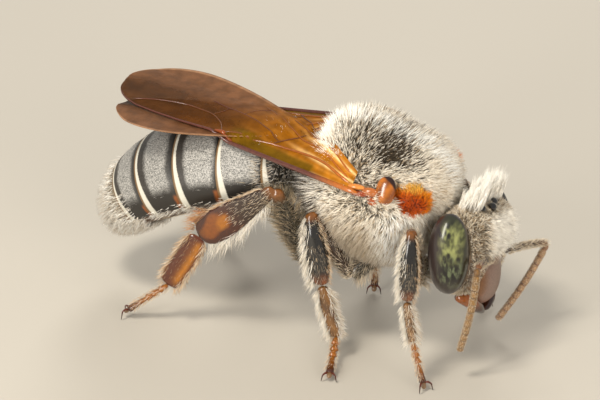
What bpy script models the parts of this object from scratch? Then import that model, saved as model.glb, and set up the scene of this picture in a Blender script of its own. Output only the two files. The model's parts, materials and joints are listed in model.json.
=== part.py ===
"""Ash-grey stingless bee worker, standing, as a still life-size model.

The bee faces +X with its left side on +Y, and its feet stand on z = 0.
Lengths below are millimetres in the body frame, whose origin is the middle of
the thorax. Every solid reaches out to the tips of the hair that grows on it.
"""

import math

import bmesh
import bpy
from mathutils import Matrix, Vector

MM = 0.001
GAP = 0.05              # clearance between neighbouring solids
FLOOR = -4.22           # height of the floor below the middle of the thorax
RIGHT = -1
LEFT = 1
SIDES = {"R": RIGHT, "L": LEFT}

# Thorax, with its coat of hair
THORAX_CENTRE = (-0.25, 0.0, 0.0)
THORAX_RADII = (2.05, 2.15, 2.3)
THORAX_POWER = 2.15
THORAX_FRONT_SLOPE = 0.27       # share by which the top sinks towards the neck
THORAX_REAR_RISE = 0.1          # a low swelling at the back of the top
THORAX_REAR_RISE_X = -1.4
THORAX_REAR_RISE_REACH = 0.5
THORAX_FRONT_DIP = 0.36         # a broad flattening of the top in front of it
THORAX_FRONT_DIP_X = 0.2
THORAX_FRONT_DIP_REACH = 0.8
THORAX_MESH = (18, 12)          # segments and rings
THORAX_REAR_CUT = -1.3          # everything behind is scutellum and propodeum
SCUTELLUM_CUT_Z = 0.9
SCUTELLUM_CUT_TILT = math.radians(18)

# Small plates on the thorax: place, radii
LOBE_PLACE = (1.02, 1.33, 0.4)
LOBE_RADII = (0.54, 0.36, 0.5)
TEGULA_PLACE = (0.27, 1.86, 0.72)
TEGULA_RADII = (0.38, 0.26, 0.4)
TEGULA_LEAN = math.radians(25)
PLATE_MESH = (10, 8)

# Head, in its own frame: x to the face, y to the left, z to the vertex
HEAD_PLACE = (2.3, 0.0, -1.08)
HEAD_ROLL = math.radians(-15)
HEAD_FRONT = 0.72
HEAD_BACK = 0.86
HEAD_HALF_WIDTH = 2.0
HEAD_TOP = 1.28
HEAD_BOTTOM = 1.5
HEAD_POWER = 2.5
HEAD_MESH = (18, 12)
TUFT_HEIGHT = 0.62              # erect hair on the vertex
TUFT_HALF_WIDTH = 1.15
TUFT_X = -0.38
TUFT_HALF_DEPTH = 0.6
EYE_PLACE = (-0.18, 1.66, -0.15)
EYE_RADII = (0.56, 0.46, 1.17)
EYE_POWER = 2.1
EYE_MESH = (14, 10)
EYE_CONVERGE = math.radians(12)
OCELLUS_RADIUS = 0.15
OCELLUS_MESH = (8, 6)
OCELLI = {"M": (0.5, 0.0, 1.1), "R": (0.32, -0.42, 1.2), "L": (0.32, 0.42, 1.2)}
CLYPEUS_PLACE = (0.34, 0.0, -1.02)
CLYPEUS_RADII = (0.42, 0.82, 0.72)
CLYPEUS_POWER = 2.3
CLYPEUS_MESH = (12, 8)
MANDIBLE_HINGE = (0.0, 1.12, -1.38)
MANDIBLE_TIP = (0.42, 0.1, -1.98)
MANDIBLE_COUNT = 8              # points round its section
# share of the length, half width and half depth
MANDIBLE_GIRTHS = ((0.0, 0.2, 0.2), (0.25, 0.26, 0.26), (0.7, 0.24, 0.25), (1.0, 0.14, 0.18))

# Antennae: socket, end of the scape and tip of the flagellum in the body frame
ANTENNAE = {
    "R": ((2.93, -0.46, -1.34), (2.93, -1.8, -0.97), (2.6, -2.06, -3.4)),
    "L": ((2.95, 0.33, -1.56), (3.8, 1.5, -1.72), (2.75, 0.58, -3.84)),
}
SCAPE_RADIUS = 0.24
FLAGELLUM_RADIUS = 0.25
ANTENNA_COUNT = 8
# share of the length, and half width and half depth over the radius
SCAPE_GIRTHS = ((0.0, 0.6, 0.6), (0.12, 1, 1), (0.88, 1, 1), (1.0, 0.6, 0.6))
FLAGELLUM_GIRTHS = ((0.0, 0.6, 0.6), (0.06, 1, 1), (0.35, 0.95, 0.95), (0.7, 1, 1),
                    (0.93, 0.9, 0.9), (1.0, 0.5, 0.5))

# Abdomen: its spine starts behind the thorax and droops more and more
ABDOMEN_START = (-2.6, 0.1)
ABDOMEN_DROOP = 0.17
ABDOMEN_DROOP_GAIN = 0.93
ABDOMEN_LENGTH = 6.35
ABDOMEN_WIDEST = 0.42           # share of the length
ABDOMEN_HALF_WIDTH = 1.82
ABDOMEN_RISE = 1.5
ABDOMEN_DROP = 1.1
ABDOMEN_FULLNESS = 0.85
ABDOMEN_FRONT_REACH = 0.1       # share by which the front taper runs past the waist
ABDOMEN_COUNT = 14
SPINE_STEPS = 24
WAIST_START = -0.44             # the waist reaches forward of the spine's start
WAIST_RADIUS = 0.4
WAIST_FLARE = 1.6               # growth of the section along the waist
WAIST_LENGTH = 0.3
TERGITE_ENDS = (0.58, 1.74, 2.94, 4.1, 4.96, 6.3)

# Wings: hinge, end of the straight front edge, slope of the blade across it
WINGS = {
    "forewing_R": {"hinge": (-0.62, -2.14, 0.92), "end": (-7.0, -0.62, 1.5), "slope": 0.08},
    "forewing_L": {"hinge": (-0.62, 2.14, 0.9), "end": (-7.0, 0.62, 1.02), "slope": 0.04},
    "hindwing_R": {"hinge": (-1.2, -2.05, 0.4), "end": (-4.7, -1.5, 0.7), "slope": 0.35},
    "hindwing_L": {"hinge": (-1.2, 2.05, 0.4), "end": (-4.7, 1.5, 0.5), "slope": 0.35},
}
WING_THICKNESS = 0.46
FOREWING_CHORD = 2.55
FOREWING_REACH = 1.17           # whole blade over its straight front edge
FOREWING_WIDEST = 0.76
HINDWING_CHORD = 0.9
HINDWING_REACH = 1.0
HINDWING_WIDEST = 0.6
WING_ROOT_CHORD = 0.5
WING_TIP_SHARE = 0.985          # the blade ends just short of its apex
WING_TIP_START = 0.8            # where the front edge begins to curve back
WING_TIP_SWEEP = 0.3
WING_TIP_LIMIT = 0.45
WING_EDGE = 0.5                 # blunt edge over the blade's half thickness
WING_FLAT = 0.8                 # flat faces over the blade's half width

# Legs: coxa root, trochanter, knee, end of the tibia, end of the basitarsus, claws
LEG_JOINTS = {
    "fore_R": ((0.95, -0.6, -1.6), (1.05, -1.05, -2.25), (1.17, -1.95, -0.16),
               (1.25, -2.4, -2.0), (1.5, -2.55, -3.08), (1.98, -2.95, -4.16)),
    "mid_R": ((-0.3, -0.65, -1.75), (-0.75, -1.2, -2.3), (-1.76, -1.62, -0.36),
              (-1.31, -1.9, -2.32), (-0.8, -2.14, -3.66), (-0.48, -3.5, -4.1)),
    "hind_R": ((-1.45, -0.6, -1.5), (-1.95, -1.15, -2.1), (-2.62, -1.95, 0.3),
               (-4.74, -2.08, -1.47), (-5.66, -2.15, -3.1), (-6.9, -2.4, -4.1)),
    "fore_L": ((0.95, 0.6, -1.6), (1.05, 1.05, -2.25), (1.2, 1.95, -0.5),
               (1.5, 2.1, -2.2), (1.75, 1.95, -3.2), (2.0, 1.75, -4.14)),
    "mid_L": ((-0.3, 0.65, -1.75), (-0.75, 1.2, -2.3), (-1.5, 2.1, -0.35),
              (-1.35, 2.15, -2.15), (-1.2, 1.9, -3.35), (-1.05, 1.35, -4.14)),
    "hind_L": ((-1.45, 0.6, -1.5), (-1.95, 1.15, -2.1), (-2.62, 1.95, 0.3),
               (-4.4, 2.3, -1.35), (-5.0, 2.5, -3.0), (-6.25, 2.65, -4.1)),
}
# Half width and half depth of each leg's pieces at their widest, hair included
LEG_GIRTHS = {
    "fore": {"coxa": (0.34, 0.34), "femur": (0.34, 0.3), "tibia": (0.4, 0.3),
             "basitarsus": (0.27, 0.25), "tarsus": (0.25, 0.25)},
    "mid": {"coxa": (0.36, 0.36), "femur": (0.36, 0.32), "tibia": (0.46, 0.3),
            "basitarsus": (0.36, 0.25), "tarsus": (0.25, 0.25)},
    "hind": {"coxa": (0.4, 0.4), "femur": (0.42, 0.32), "tibia": (0.62, 0.26),
             "basitarsus": (0.46, 0.25), "tarsus": (0.25, 0.25)},
}
LEG_PIECES = ("coxa", "femur", "tibia", "basitarsus", "tarsus")
LEG_COUNT = 8
LEG_FLAT = (-1, 0, 0.2)         # where the broad side of a leg's section points
PADDLE_FLAT = (-0.6, 0, 0.8)
# share of the length, and half width and half depth over the girths above
LEG_PROFILES = {
    "coxa": ((0.0, 0.75, 0.75), (0.3, 1, 1), (0.75, 0.9, 0.9), (0.97, 0.62, 0.62)),
    "femur": ((0.03, 0.6, 0.7), (0.2, 0.9, 0.95), (0.5, 1, 1), (0.8, 0.8, 0.85), (0.97, 0.6, 0.7)),
    "tibia": ((0.03, 0.5, 0.75), (0.15, 0.65, 0.9), (0.45, 0.85, 1), (0.8, 1, 1), (0.97, 0.72, 0.8)),
    "basitarsus": ((0.03, 0.75, 0.9), (0.2, 1, 1), (0.75, 0.95, 1), (0.97, 0.7, 0.9)),
    "tarsus": ((0.03, 0.85, 0.85), (0.25, 1, 1), (0.65, 0.95, 0.95)),
}
CLAW_PROFILE = ((0.86, 0.4, 0.2), (1.0, 0.4, 0.17), (1.1, 0.2, 0.1))
SHARP_ANGLE = math.radians(50)


def make_finish(name, color, roughness, metallic=0.0):
    finish = bpy.data.materials.new(name)
    finish.use_nodes = True
    shader = finish.node_tree.nodes["Principled BSDF"]
    shader.inputs["Base Color"].default_value = (*color, 1.0)
    shader.inputs["Roughness"].default_value = roughness
    shader.inputs["Metallic"].default_value = metallic
    return finish


def empty_scene():
    for leftover in list(bpy.data.objects):
        bpy.data.objects.remove(leftover, do_unlink=True)


class Bee:
    """The collections, finishes and finished objects of the model."""

    def __init__(self):
        self.parts = bpy.data.collections.new("stingless_bee")
        self.cutters = bpy.data.collections.new("clearances")
        for collection in (self.parts, self.cutters):
            bpy.context.scene.collection.children.link(collection)
        self.stance = bpy.data.objects.new("stance", None)
        self.parts.objects.link(self.stance)
        self.finishes = {
            "cream_hair": make_finish("cream_hair", (0.62, 0.56, 0.45), 0.8),
            "white_hair": make_finish("white_hair", (0.78, 0.73, 0.64), 0.8),
            "face_plate": make_finish("face_plate", (0.5, 0.38, 0.32), 0.5),
            "grey_plate": make_finish("grey_plate", (0.28, 0.28, 0.27), 0.5),
            "amber_plate": make_finish("amber_plate", (0.5, 0.17, 0.03), 0.25),
            "orange_hair": make_finish("orange_hair", (0.75, 0.3, 0.03), 0.8),
            "green_eye": make_finish("green_eye", (0.2, 0.26, 0.1), 0.15),
            "black_eye": make_finish("black_eye", (0.02, 0.02, 0.02), 0.1),
            "amber_leg": make_finish("amber_leg", (0.42, 0.14, 0.03), 0.25),
            "dark_leg": make_finish("dark_leg", (0.1, 0.08, 0.06), 0.35),
            "brown_antenna": make_finish("brown_antenna", (0.3, 0.2, 0.1), 0.45),
            "smoky_wing": make_finish("smoky_wing", (0.35, 0.2, 0.08), 0.3),
        }

    def add(self, name, shape, finish, frame=None):
        """Link a shape, given in its frame's millimetres, as one named part."""
        bmesh.ops.recalc_face_normals(shape, faces=shape.faces)
        shape.transform(Matrix.Scale(MM, 4))
        mesh = bpy.data.meshes.new(name)
        shape.to_mesh(mesh)
        shape.free()
        mesh.shade_smooth()
        mesh.set_sharp_from_angle(angle=SHARP_ANGLE)
        mesh.materials.append(self.finishes[finish])
        part = bpy.data.objects.new(name, mesh)
        self.parts.objects.link(part)
        part.parent = self.stance
        place = frame.copy() if frame else Matrix()
        place.translation *= MM
        part.matrix_local = place
        return part

    def clear(self, part, *neighbours):
        """Cut each neighbour's space, grown by the clearance, out of a part."""
        for neighbour in neighbours:
            cutter = neighbour.copy()
            cutter.data = neighbour.data.copy()
            cutter.modifiers.clear()
            cutter.name = f"space_{neighbour.name}_in_{part.name}"
            for vertex in cutter.data.vertices:
                vertex.co += vertex.normal * GAP * MM
            cutter.hide_render = True
            cutter.display_type = "WIRE"
            self.cutters.objects.link(cutter)
            cut = part.modifiers.new(f"clear_{neighbour.name}", "BOOLEAN")
            cut.operation = "DIFFERENCE"
            cut.solver = "EXACT"
            cut.object = cutter

    def stand(self):
        """Move the bee so that its box stands centred on the origin."""
        bpy.context.view_layer.update()
        graph = bpy.context.evaluated_depsgraph_get()
        corners = []
        for part in self.parts.objects:
            if part.type == "MESH":
                solid = part.evaluated_get(graph)
                corners += [solid.matrix_world @ v.co for v in solid.data.vertices]
        low = [min(c[axis] for c in corners) for axis in range(3)]
        high = [max(c[axis] for c in corners) for axis in range(3)]
        self.stance.location = (-(low[0] + high[0]) / 2, -(low[1] + high[1]) / 2, -low[2])


def ball(radii, power, mesh):
    """A closed superellipsoid; power 2 is an ellipsoid, more is boxier."""
    segments, rings = mesh
    shape = bmesh.new()
    bmesh.ops.create_uvsphere(shape, u_segments=segments, v_segments=rings, radius=1.0)
    for vertex in shape.verts:
        size = sum(abs(value) ** power for value in vertex.co) ** (1 / power)
        vertex.co = Vector(value / size * radius for value, radius in zip(vertex.co, radii))
    return shape


def loft(sections):
    """A closed body through rings of points, each ring having the same count."""
    shape = bmesh.new()
    rings = [[shape.verts.new(point) for point in section] for section in sections]
    for ring, after in zip(rings, rings[1:]):
        for k in range(len(ring)):
            other = (k + 1) % len(ring)
            shape.faces.new((ring[k], ring[other], after[other], after[k]))
    shape.faces.new(rings[0])
    shape.faces.new(rings[-1])
    bmesh.ops.triangulate(shape, faces=shape.faces)
    return shape


def keep_side(shape, point, normal):
    """Cut a closed shape by a plane and keep what lies behind its normal."""
    geometry = shape.verts[:] + shape.edges[:] + shape.faces[:]
    cut = bmesh.ops.bisect_plane(shape, geom=geometry, dist=1e-6, plane_co=point,
                                 plane_no=normal, clear_outer=True)
    edges = [piece for piece in cut["geom_cut"] if isinstance(piece, bmesh.types.BMEdge)]
    bmesh.ops.holes_fill(shape, edges=edges, sides=len(edges))
    bmesh.ops.triangulate(shape, faces=[f for f in shape.faces if len(f.verts) > 4])


def oval(centre, across, up, half_width, rise, drop, count):
    """Points of an oval round a centre; rise and drop are its two half heights."""
    points = []
    for k in range(count):
        angle = 2 * math.pi * k / count
        height = math.cos(angle)
        points.append(Vector(centre) + Vector(across) * half_width * math.sin(angle)
                      + Vector(up) * height * (rise if height > 0 else drop))
    return points


def aim(start, end, flat):
    """A frame at start with z towards end and x as close to flat as it can be."""
    axis_z = (Vector(end) - Vector(start)).normalized()
    axis_y = axis_z.cross(Vector(flat)).normalized()
    axis_x = axis_y.cross(axis_z)
    turn = Matrix((axis_x, axis_y, axis_z)).transposed().to_4x4()
    return Matrix.Translation(start) @ turn


def swell(value, middle, reach):
    return math.exp(-((value - middle) / reach) ** 2)


def top_relief(point):
    """How far the top of the thorax rises above or sinks below its plain form."""
    ahead = max(0.0, point.x) / THORAX_RADII[0]
    above = max(0.0, point.z)
    slope = THORAX_FRONT_SLOPE * ahead * above
    rise = THORAX_REAR_RISE * swell(point.x, THORAX_REAR_RISE_X, THORAX_REAR_RISE_REACH)
    dip = THORAX_FRONT_DIP * swell(point.x, THORAX_FRONT_DIP_X, THORAX_FRONT_DIP_REACH)
    return (rise - dip) * min(1.0, above) - slope


def make_thorax(bee):
    """Thorax, scutellum and propodeum: one form parted by thin cuts."""
    rear = Vector((THORAX_REAR_CUT, 0, 0))
    level = Vector((THORAX_REAR_CUT, 0, SCUTELLUM_CUT_Z))
    up = Vector((-math.sin(SCUTELLUM_CUT_TILT), 0, math.cos(SCUTELLUM_CUT_TILT)))
    forward = Vector((1, 0, 0))
    cuts = {
        "thorax": [(rear, -forward)],
        "scutellum": [(rear - forward * GAP, forward), (level, -up)],
        "propodeum": [(rear - forward * GAP, forward), (level - up * GAP, up)],
    }
    parts = {}
    for name, planes in cuts.items():
        shape = ball(THORAX_RADII, THORAX_POWER, THORAX_MESH)
        for vertex in shape.verts:
            vertex.co.z += top_relief(vertex.co)
        bmesh.ops.translate(shape, verts=shape.verts, vec=THORAX_CENTRE)
        for point, normal in planes:
            keep_side(shape, point, normal)
        parts[name] = bee.add(name, shape, "cream_hair")
    return parts


def spine_at(distance):
    """Place and droop of the abdomen's spine at a distance from its start."""
    place = Vector((ABDOMEN_START[0], 0, ABDOMEN_START[1]))
    for k in range(SPINE_STEPS):
        middle = distance * (k + 0.5) / SPINE_STEPS
        droop = ABDOMEN_DROOP + ABDOMEN_DROOP_GAIN * (middle / ABDOMEN_LENGTH) ** 2
        place += Vector((-math.cos(droop), 0, -math.sin(droop))) * distance / SPINE_STEPS
    return place, ABDOMEN_DROOP + ABDOMEN_DROOP_GAIN * (distance / ABDOMEN_LENGTH) ** 2


def fullness_at(distance):
    """Size of the abdomen's section, from 0 at its ends to 1 where it is widest."""
    share = distance / ABDOMEN_LENGTH - ABDOMEN_WIDEST
    reach = 1 - ABDOMEN_WIDEST if share > 0 else ABDOMEN_WIDEST + ABDOMEN_FRONT_REACH
    return math.sqrt(max(0.0, 1 - (share / reach) ** 2)) ** ABDOMEN_FULLNESS


def make_abdomen(bee):
    """Six rings of the abdomen, each parted from the next by a thin cut."""
    parts = {}
    start = WAIST_START
    for number, end in enumerate(TERGITE_ENDS, start=1):
        sections = []
        steps = 5 if number in (1, len(TERGITE_ENDS)) else 3
        for k in range(steps + 1):
            distance = start + (end - start) * k / steps
            inside = max(distance, 0.0)
            place, droop = spine_at(inside)
            place.x -= distance - inside
            size = fullness_at(inside)
            if distance < WAIST_LENGTH:
                size = min(size, WAIST_RADIUS / ABDOMEN_RISE + inside * WAIST_FLARE)
            up = Vector((-math.sin(droop), 0, math.cos(droop)))
            sections.append(oval(place, (0, 1, 0), up, ABDOMEN_HALF_WIDTH * size,
                                 ABDOMEN_RISE * size, ABDOMEN_DROP * size, ABDOMEN_COUNT))
        name = f"tergite_{number}"
        parts[name] = bee.add(name, loft(sections), "grey_plate")
        start = end + GAP
    return parts


def head_frame():
    return Matrix.Translation(HEAD_PLACE) @ Matrix.Rotation(HEAD_ROLL, 4, "X")


def shape_head():
    shape = ball((1, 1, 1), HEAD_POWER, HEAD_MESH)
    for vertex in shape.verts:
        x, y, z = vertex.co
        x *= HEAD_FRONT if x > 0 else HEAD_BACK
        y *= HEAD_HALF_WIDTH
        z *= HEAD_TOP if z > 0 else HEAD_BOTTOM
        sideways = max(0.0, 1 - (y / TUFT_HALF_WIDTH) ** 2)
        lengthways = max(0.0, 1 - ((x - TUFT_X) / TUFT_HALF_DEPTH) ** 2)
        z += TUFT_HEIGHT * sideways * lengthways * max(0.0, z / HEAD_TOP)
        vertex.co = (x, y, z)
    return shape


def make_head(bee):
    frame = head_frame()
    parts = {"head": bee.add("head", shape_head(), "white_hair", frame)}
    clypeus = ball(CLYPEUS_RADII, CLYPEUS_POWER, CLYPEUS_MESH)
    place = frame @ Matrix.Translation(CLYPEUS_PLACE)
    parts["clypeus"] = bee.add("clypeus", clypeus, "face_plate", place)
    for side, sign in SIDES.items():
        x, y, z = EYE_PLACE
        place = frame @ Matrix.Translation((x, sign * y, z))
        place = place @ Matrix.Rotation(-sign * EYE_CONVERGE, 4, "X")
        shape = ball(EYE_RADII, EYE_POWER, EYE_MESH)
        parts[f"eye_{side}"] = bee.add(f"eye_{side}", shape, "green_eye", place)
        hinge = frame @ Vector((MANDIBLE_HINGE[0], sign * MANDIBLE_HINGE[1], MANDIBLE_HINGE[2]))
        tip = frame @ Vector((MANDIBLE_TIP[0], sign * MANDIBLE_TIP[1], MANDIBLE_TIP[2]))
        place = aim(hinge, tip, (1, 0, 0))
        shape = limb(MANDIBLE_GIRTHS, (tip - hinge).length, MANDIBLE_COUNT)
        parts[f"mandible_{side}"] = bee.add(f"mandible_{side}", shape, "amber_plate", place)
    for side, place in OCELLI.items():
        name = f"ocellus_{side}"
        shape = ball((OCELLUS_RADIUS,) * 3, 2, OCELLUS_MESH)
        parts[name] = bee.add(name, shape, "black_eye", frame @ Matrix.Translation(place))
    return parts


def limb(girths, length, count):
    """A closed limb along z through ovals given as (share, half x, half y)."""
    return loft([oval((0, 0, share * length), (0, 1, 0), (1, 0, 0), half_y, half_x, half_x, count)
                 for share, half_x, half_y in girths])


def make_antennae(bee):
    parts = {}
    for side, (socket, elbow, tip) in ANTENNAE.items():
        rows = (("scape", socket, elbow, SCAPE_GIRTHS, SCAPE_RADIUS),
                ("flagellum", elbow, tip, FLAGELLUM_GIRTHS, FLAGELLUM_RADIUS))
        for name, start, end, girths, radius in rows:
            length = (Vector(end) - Vector(start)).length
            sized = [(share, x * radius, y * radius) for share, x, y in girths]
            name = f"{name}_{side}"
            place = aim(start, end, (1, 0, 0))
            shape = limb(sized, length, ANTENNA_COUNT)
            parts[name] = bee.add(name, shape, "brown_antenna", place)
    return parts


def make_thorax_plates(bee):
    parts = {}
    for side, sign in SIDES.items():
        rows = (("lobe", LOBE_PLACE, LOBE_RADII, 0.0, "orange_hair"),
                ("tegula", TEGULA_PLACE, TEGULA_RADII, TEGULA_LEAN, "amber_plate"))
        for name, (x, y, z), radii, lean, finish in rows:
            place = Matrix.Translation((x, sign * y, z)) @ Matrix.Rotation(sign * lean, 4, "X")
            name = f"{name}_{side}"
            parts[name] = bee.add(name, ball(radii, 2, PLATE_MESH), finish, place)
    return parts


def chord_at(share, widest, chord, root):
    """Width of a wing blade at a share of its length."""
    if share < widest:
        return root + (chord - root) * math.sin(math.pi / 2 * share / widest)
    return chord * math.sqrt(max(0.0, 1 - ((share - widest) / (1 - widest)) ** 2))


def make_wings(bee):
    parts = {}
    for name, wing in WINGS.items():
        fore = name.startswith("fore")
        chord = FOREWING_CHORD if fore else HINDWING_CHORD
        widest = FOREWING_WIDEST if fore else HINDWING_WIDEST
        reach = FOREWING_REACH if fore else HINDWING_REACH
        hinge = Vector(wing["hinge"])
        span = (Vector(wing["end"]) - hinge) * reach
        inward = -math.copysign(1, hinge.y)
        across = Vector((0, inward, wing["slope"]))
        across = (across - span * across.dot(span) / span.length_squared).normalized()
        up = across.cross(span).normalized() * inward
        up = up if up.z > 0 else -up
        sections = []
        steps = 10 if fore else 7
        for k in range(steps + 1):
            share = WING_TIP_SHARE * math.sin(math.pi / 2 * k / steps)
            width = chord_at(share, widest, chord, WING_ROOT_CHORD)
            turned = max(0.0, (share - WING_TIP_START) / (1 - WING_TIP_START))
            front = min(WING_TIP_SWEEP * chord * turned ** 2, width * WING_TIP_LIMIT)
            half = (width - front) / 2
            middle = hinge + span * share + across * (front + half)
            flat = WING_THICKNESS / 2
            sections.append(slab(middle, across, up, half, flat))
        parts[name] = bee.add(name, loft(sections), "smoky_wing")
    return parts


def slab(middle, across, up, half_width, half_height):
    """The six-sided section of a wing: flat on both faces, with blunt edges."""
    edge = half_height * WING_EDGE
    inner = half_width * WING_FLAT
    row = ((-half_width, -edge), (-inner, -half_height), (inner, -half_height), (half_width, -edge),
           (half_width, edge), (inner, half_height), (-inner, half_height), (-half_width, edge))
    return [middle + across * x + up * z for x, z in row]


def make_legs(bee):
    """Five pieces for each leg, each a tapered limb from joint to joint."""
    parts = {}
    for leg, joints in LEG_JOINTS.items():
        pair, side = leg.split("_")
        for index, piece in enumerate(LEG_PIECES):
            start, end = Vector(joints[index]), Vector(joints[index + 1])
            half_x, half_y = LEG_GIRTHS[pair][piece]
            girths = [(share, x * half_x, y * half_y) for share, x, y in LEG_PROFILES[piece]]
            paddle = pair == "hind" and piece in ("tibia", "basitarsus")
            flat = PADDLE_FLAT if paddle else LEG_FLAT
            if piece == "tarsus":
                girths += list(CLAW_PROFILE)
                flat = (end - start).cross(Vector((0, 0, 1)))
            frame = aim(start, end, flat)
            shape = limb(girths, (end - start).length, LEG_COUNT)
            if piece == "tarsus":
                down = frame.inverted().to_3x3() @ Vector((0, 0, -1))
                ground = frame.inverted() @ Vector((0, 0, FLOOR))
                keep_side(shape, ground, down)
            finish = "amber_leg" if piece == "tarsus" else "dark_leg"
            name = f"{piece}_{leg}"
            parts[name] = bee.add(name, shape, finish, frame)
    return parts


def part_neighbours(bee, parts):
    """Give way wherever two solids would share the same space."""
    trunk = [parts[name] for name in ("thorax", "scutellum", "propodeum")]
    tergites = [parts[f"tergite_{number}"] for number in range(1, 7)]
    bee.clear(parts["tergite_1"], parts["propodeum"])
    bee.clear(parts["head"], parts["thorax"], parts["clypeus"])
    for side in SIDES:
        eye = parts[f"eye_{side}"]
        jaw = parts[f"mandible_{side}"]
        scape = parts[f"scape_{side}"]
        bee.clear(parts["head"], eye, jaw)
        bee.clear(scape, parts["head"], parts["clypeus"])
        bee.clear(parts[f"flagellum_{side}"], scape, parts["head"], eye)
        bee.clear(parts[f"lobe_{side}"], parts["thorax"])
        bee.clear(parts[f"tegula_{side}"], parts["thorax"], parts[f"lobe_{side}"])
    bee.clear(parts["clypeus"], parts["mandible_R"], parts["mandible_L"])
    bee.clear(parts["mandible_L"], parts["mandible_R"])
    for side in OCELLI:
        bee.clear(parts[f"ocellus_{side}"], parts["head"])
    for leg in LEG_JOINTS:
        pair = leg.split("_")[0]
        pieces = [parts[f"{piece}_{leg}"] for piece in LEG_PIECES]
        for before, after in zip(pieces, pieces[1:]):
            bee.clear(after, before)
        bee.clear(pieces[0], *trunk)
        bee.clear(pieces[1], *trunk)
        if pair == "hind":
            for piece in pieces[1:4]:
                bee.clear(piece, *tergites[:4])
        else:
            bee.clear(pieces[2], *trunk)
    wings = [parts[name] for name in WINGS]
    for index, wing in enumerate(wings):
        side = wing.name[-1]
        bee.clear(wing, *wings[:index], *trunk, *tergites)
        bee.clear(wing, parts[f"tegula_{side}"], parts[f"femur_hind_{side}"], parts[f"tibia_hind_{side}"])


def main():
    empty_scene()
    bee = Bee()
    parts = make_thorax(bee)
    parts.update(make_abdomen(bee))
    parts.update(make_head(bee))
    parts.update(make_antennae(bee))
    parts.update(make_thorax_plates(bee))
    parts.update(make_wings(bee))
    parts.update(make_legs(bee))
    part_neighbours(bee, parts)
    bee.stand()


main()
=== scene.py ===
import math
import bmesh
import bpy
import numpy as np
from mathutils import Matrix, Vector
from mathutils.bvhtree import BVHTree
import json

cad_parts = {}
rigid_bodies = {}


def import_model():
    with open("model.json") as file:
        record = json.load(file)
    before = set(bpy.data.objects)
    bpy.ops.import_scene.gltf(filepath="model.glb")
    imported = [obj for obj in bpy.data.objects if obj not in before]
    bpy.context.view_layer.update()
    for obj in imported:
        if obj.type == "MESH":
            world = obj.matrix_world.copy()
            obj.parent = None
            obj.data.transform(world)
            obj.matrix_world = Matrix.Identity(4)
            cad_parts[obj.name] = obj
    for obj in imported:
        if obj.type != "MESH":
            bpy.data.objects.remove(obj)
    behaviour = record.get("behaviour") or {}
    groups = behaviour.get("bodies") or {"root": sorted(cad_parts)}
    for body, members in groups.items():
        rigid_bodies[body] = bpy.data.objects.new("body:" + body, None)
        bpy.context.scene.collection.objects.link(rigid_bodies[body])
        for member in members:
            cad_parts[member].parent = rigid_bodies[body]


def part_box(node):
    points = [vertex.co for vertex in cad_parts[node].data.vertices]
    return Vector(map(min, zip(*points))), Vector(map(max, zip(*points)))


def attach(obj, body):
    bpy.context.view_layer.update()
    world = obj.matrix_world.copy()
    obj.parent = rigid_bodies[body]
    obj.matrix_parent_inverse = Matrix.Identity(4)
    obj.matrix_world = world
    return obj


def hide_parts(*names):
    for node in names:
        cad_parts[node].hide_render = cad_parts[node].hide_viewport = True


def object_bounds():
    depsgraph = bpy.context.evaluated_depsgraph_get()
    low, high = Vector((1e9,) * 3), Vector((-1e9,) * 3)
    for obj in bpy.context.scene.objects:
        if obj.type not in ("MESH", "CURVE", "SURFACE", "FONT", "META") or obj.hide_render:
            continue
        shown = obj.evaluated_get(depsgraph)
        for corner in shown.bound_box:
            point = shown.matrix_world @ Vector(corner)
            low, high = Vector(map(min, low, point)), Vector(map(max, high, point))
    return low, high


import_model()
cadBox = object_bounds()

# Everything is shaped in millimetres round the middle of the thorax, x to the head and y to the left,
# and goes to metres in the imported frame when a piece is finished.
mm = 0.001
thoraxLow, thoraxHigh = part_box("thorax")
thoraxNose, thoraxBelly = 1.8, 2.3  # from the middle to the front and to the bottom of the thorax
middle = Vector((thoraxHigh.x - thoraxNose * mm, (thoraxLow.y + thoraxHigh.y) / 2,
                 thoraxLow.z + thoraxBelly * mm))
floorZ = (cadBox[0].z - middle.z) / mm
sides = {"R": -1, "L": 1}


def tint(red, green, blue):
    # a display colour of 0 to 255 as the linear colour that shaders use
    parts = [value / 255 for value in (red, green, blue)]
    return tuple(c / 12.92 if c <= 0.04045 else ((c + 0.055) / 1.055) ** 2.4 for c in parts)


def mix(first, second, share):
    share = min(max(share, 0.0), 1.0)
    return tuple(a + (b - a) * share for a, b in zip(first, second))


def ease(low, high, value):
    t = np.clip((value - low) / (high - low), 0, 1)
    return t * t * (3 - 2 * t)


def smoothTable(keys, width=0.1):
    # rows of (share, values) read along a smooth line
    rows = np.array(keys, float)
    shares = np.linspace(0, 1, 201)
    reach = max(1, int(width * 100))
    kernel = np.hanning(2 * reach + 1)
    kernel /= kernel.sum()
    columns = []
    for k in range(1, rows.shape[1]):
        line = np.interp(shares, rows[:, 0], rows[:, k])
        padded = np.concatenate((2 * line[0] - line[reach:0:-1], line, 2 * line[-1] - line[-2:-reach - 2:-1]))
        columns.append(np.convolve(padded, kernel, "valid"))
    return lambda share: [float(np.interp(share, shares, column)) for column in columns]


def aim(start, end, flat):
    # a frame at start with z towards end and x as close to flat as it can be
    axisZ = (Vector(end) - Vector(start)).normalized()
    axisY = axisZ.cross(Vector(flat)).normalized()
    axisX = axisY.cross(axisZ)
    return Matrix.Translation(start) @ Matrix((axisX, axisY, axisZ)).transposed().to_4x4()


def moveInto(frameOf, points):
    matrix = np.array(frameOf)
    return points @ matrix[:3, :3].T + matrix[:3, 3]


def turnInto(frameOf, ways):
    return ways @ np.array(frameOf)[:3, :3].T


def unitRows(rows):
    return rows / np.linalg.norm(rows, axis=1, keepdims=True)


def onMap(across, up):
    # places on a coat's map, kept off its edges
    return np.stack((0.01 + 0.98 * across, 0.01 + 0.98 * up), 1)


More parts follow.
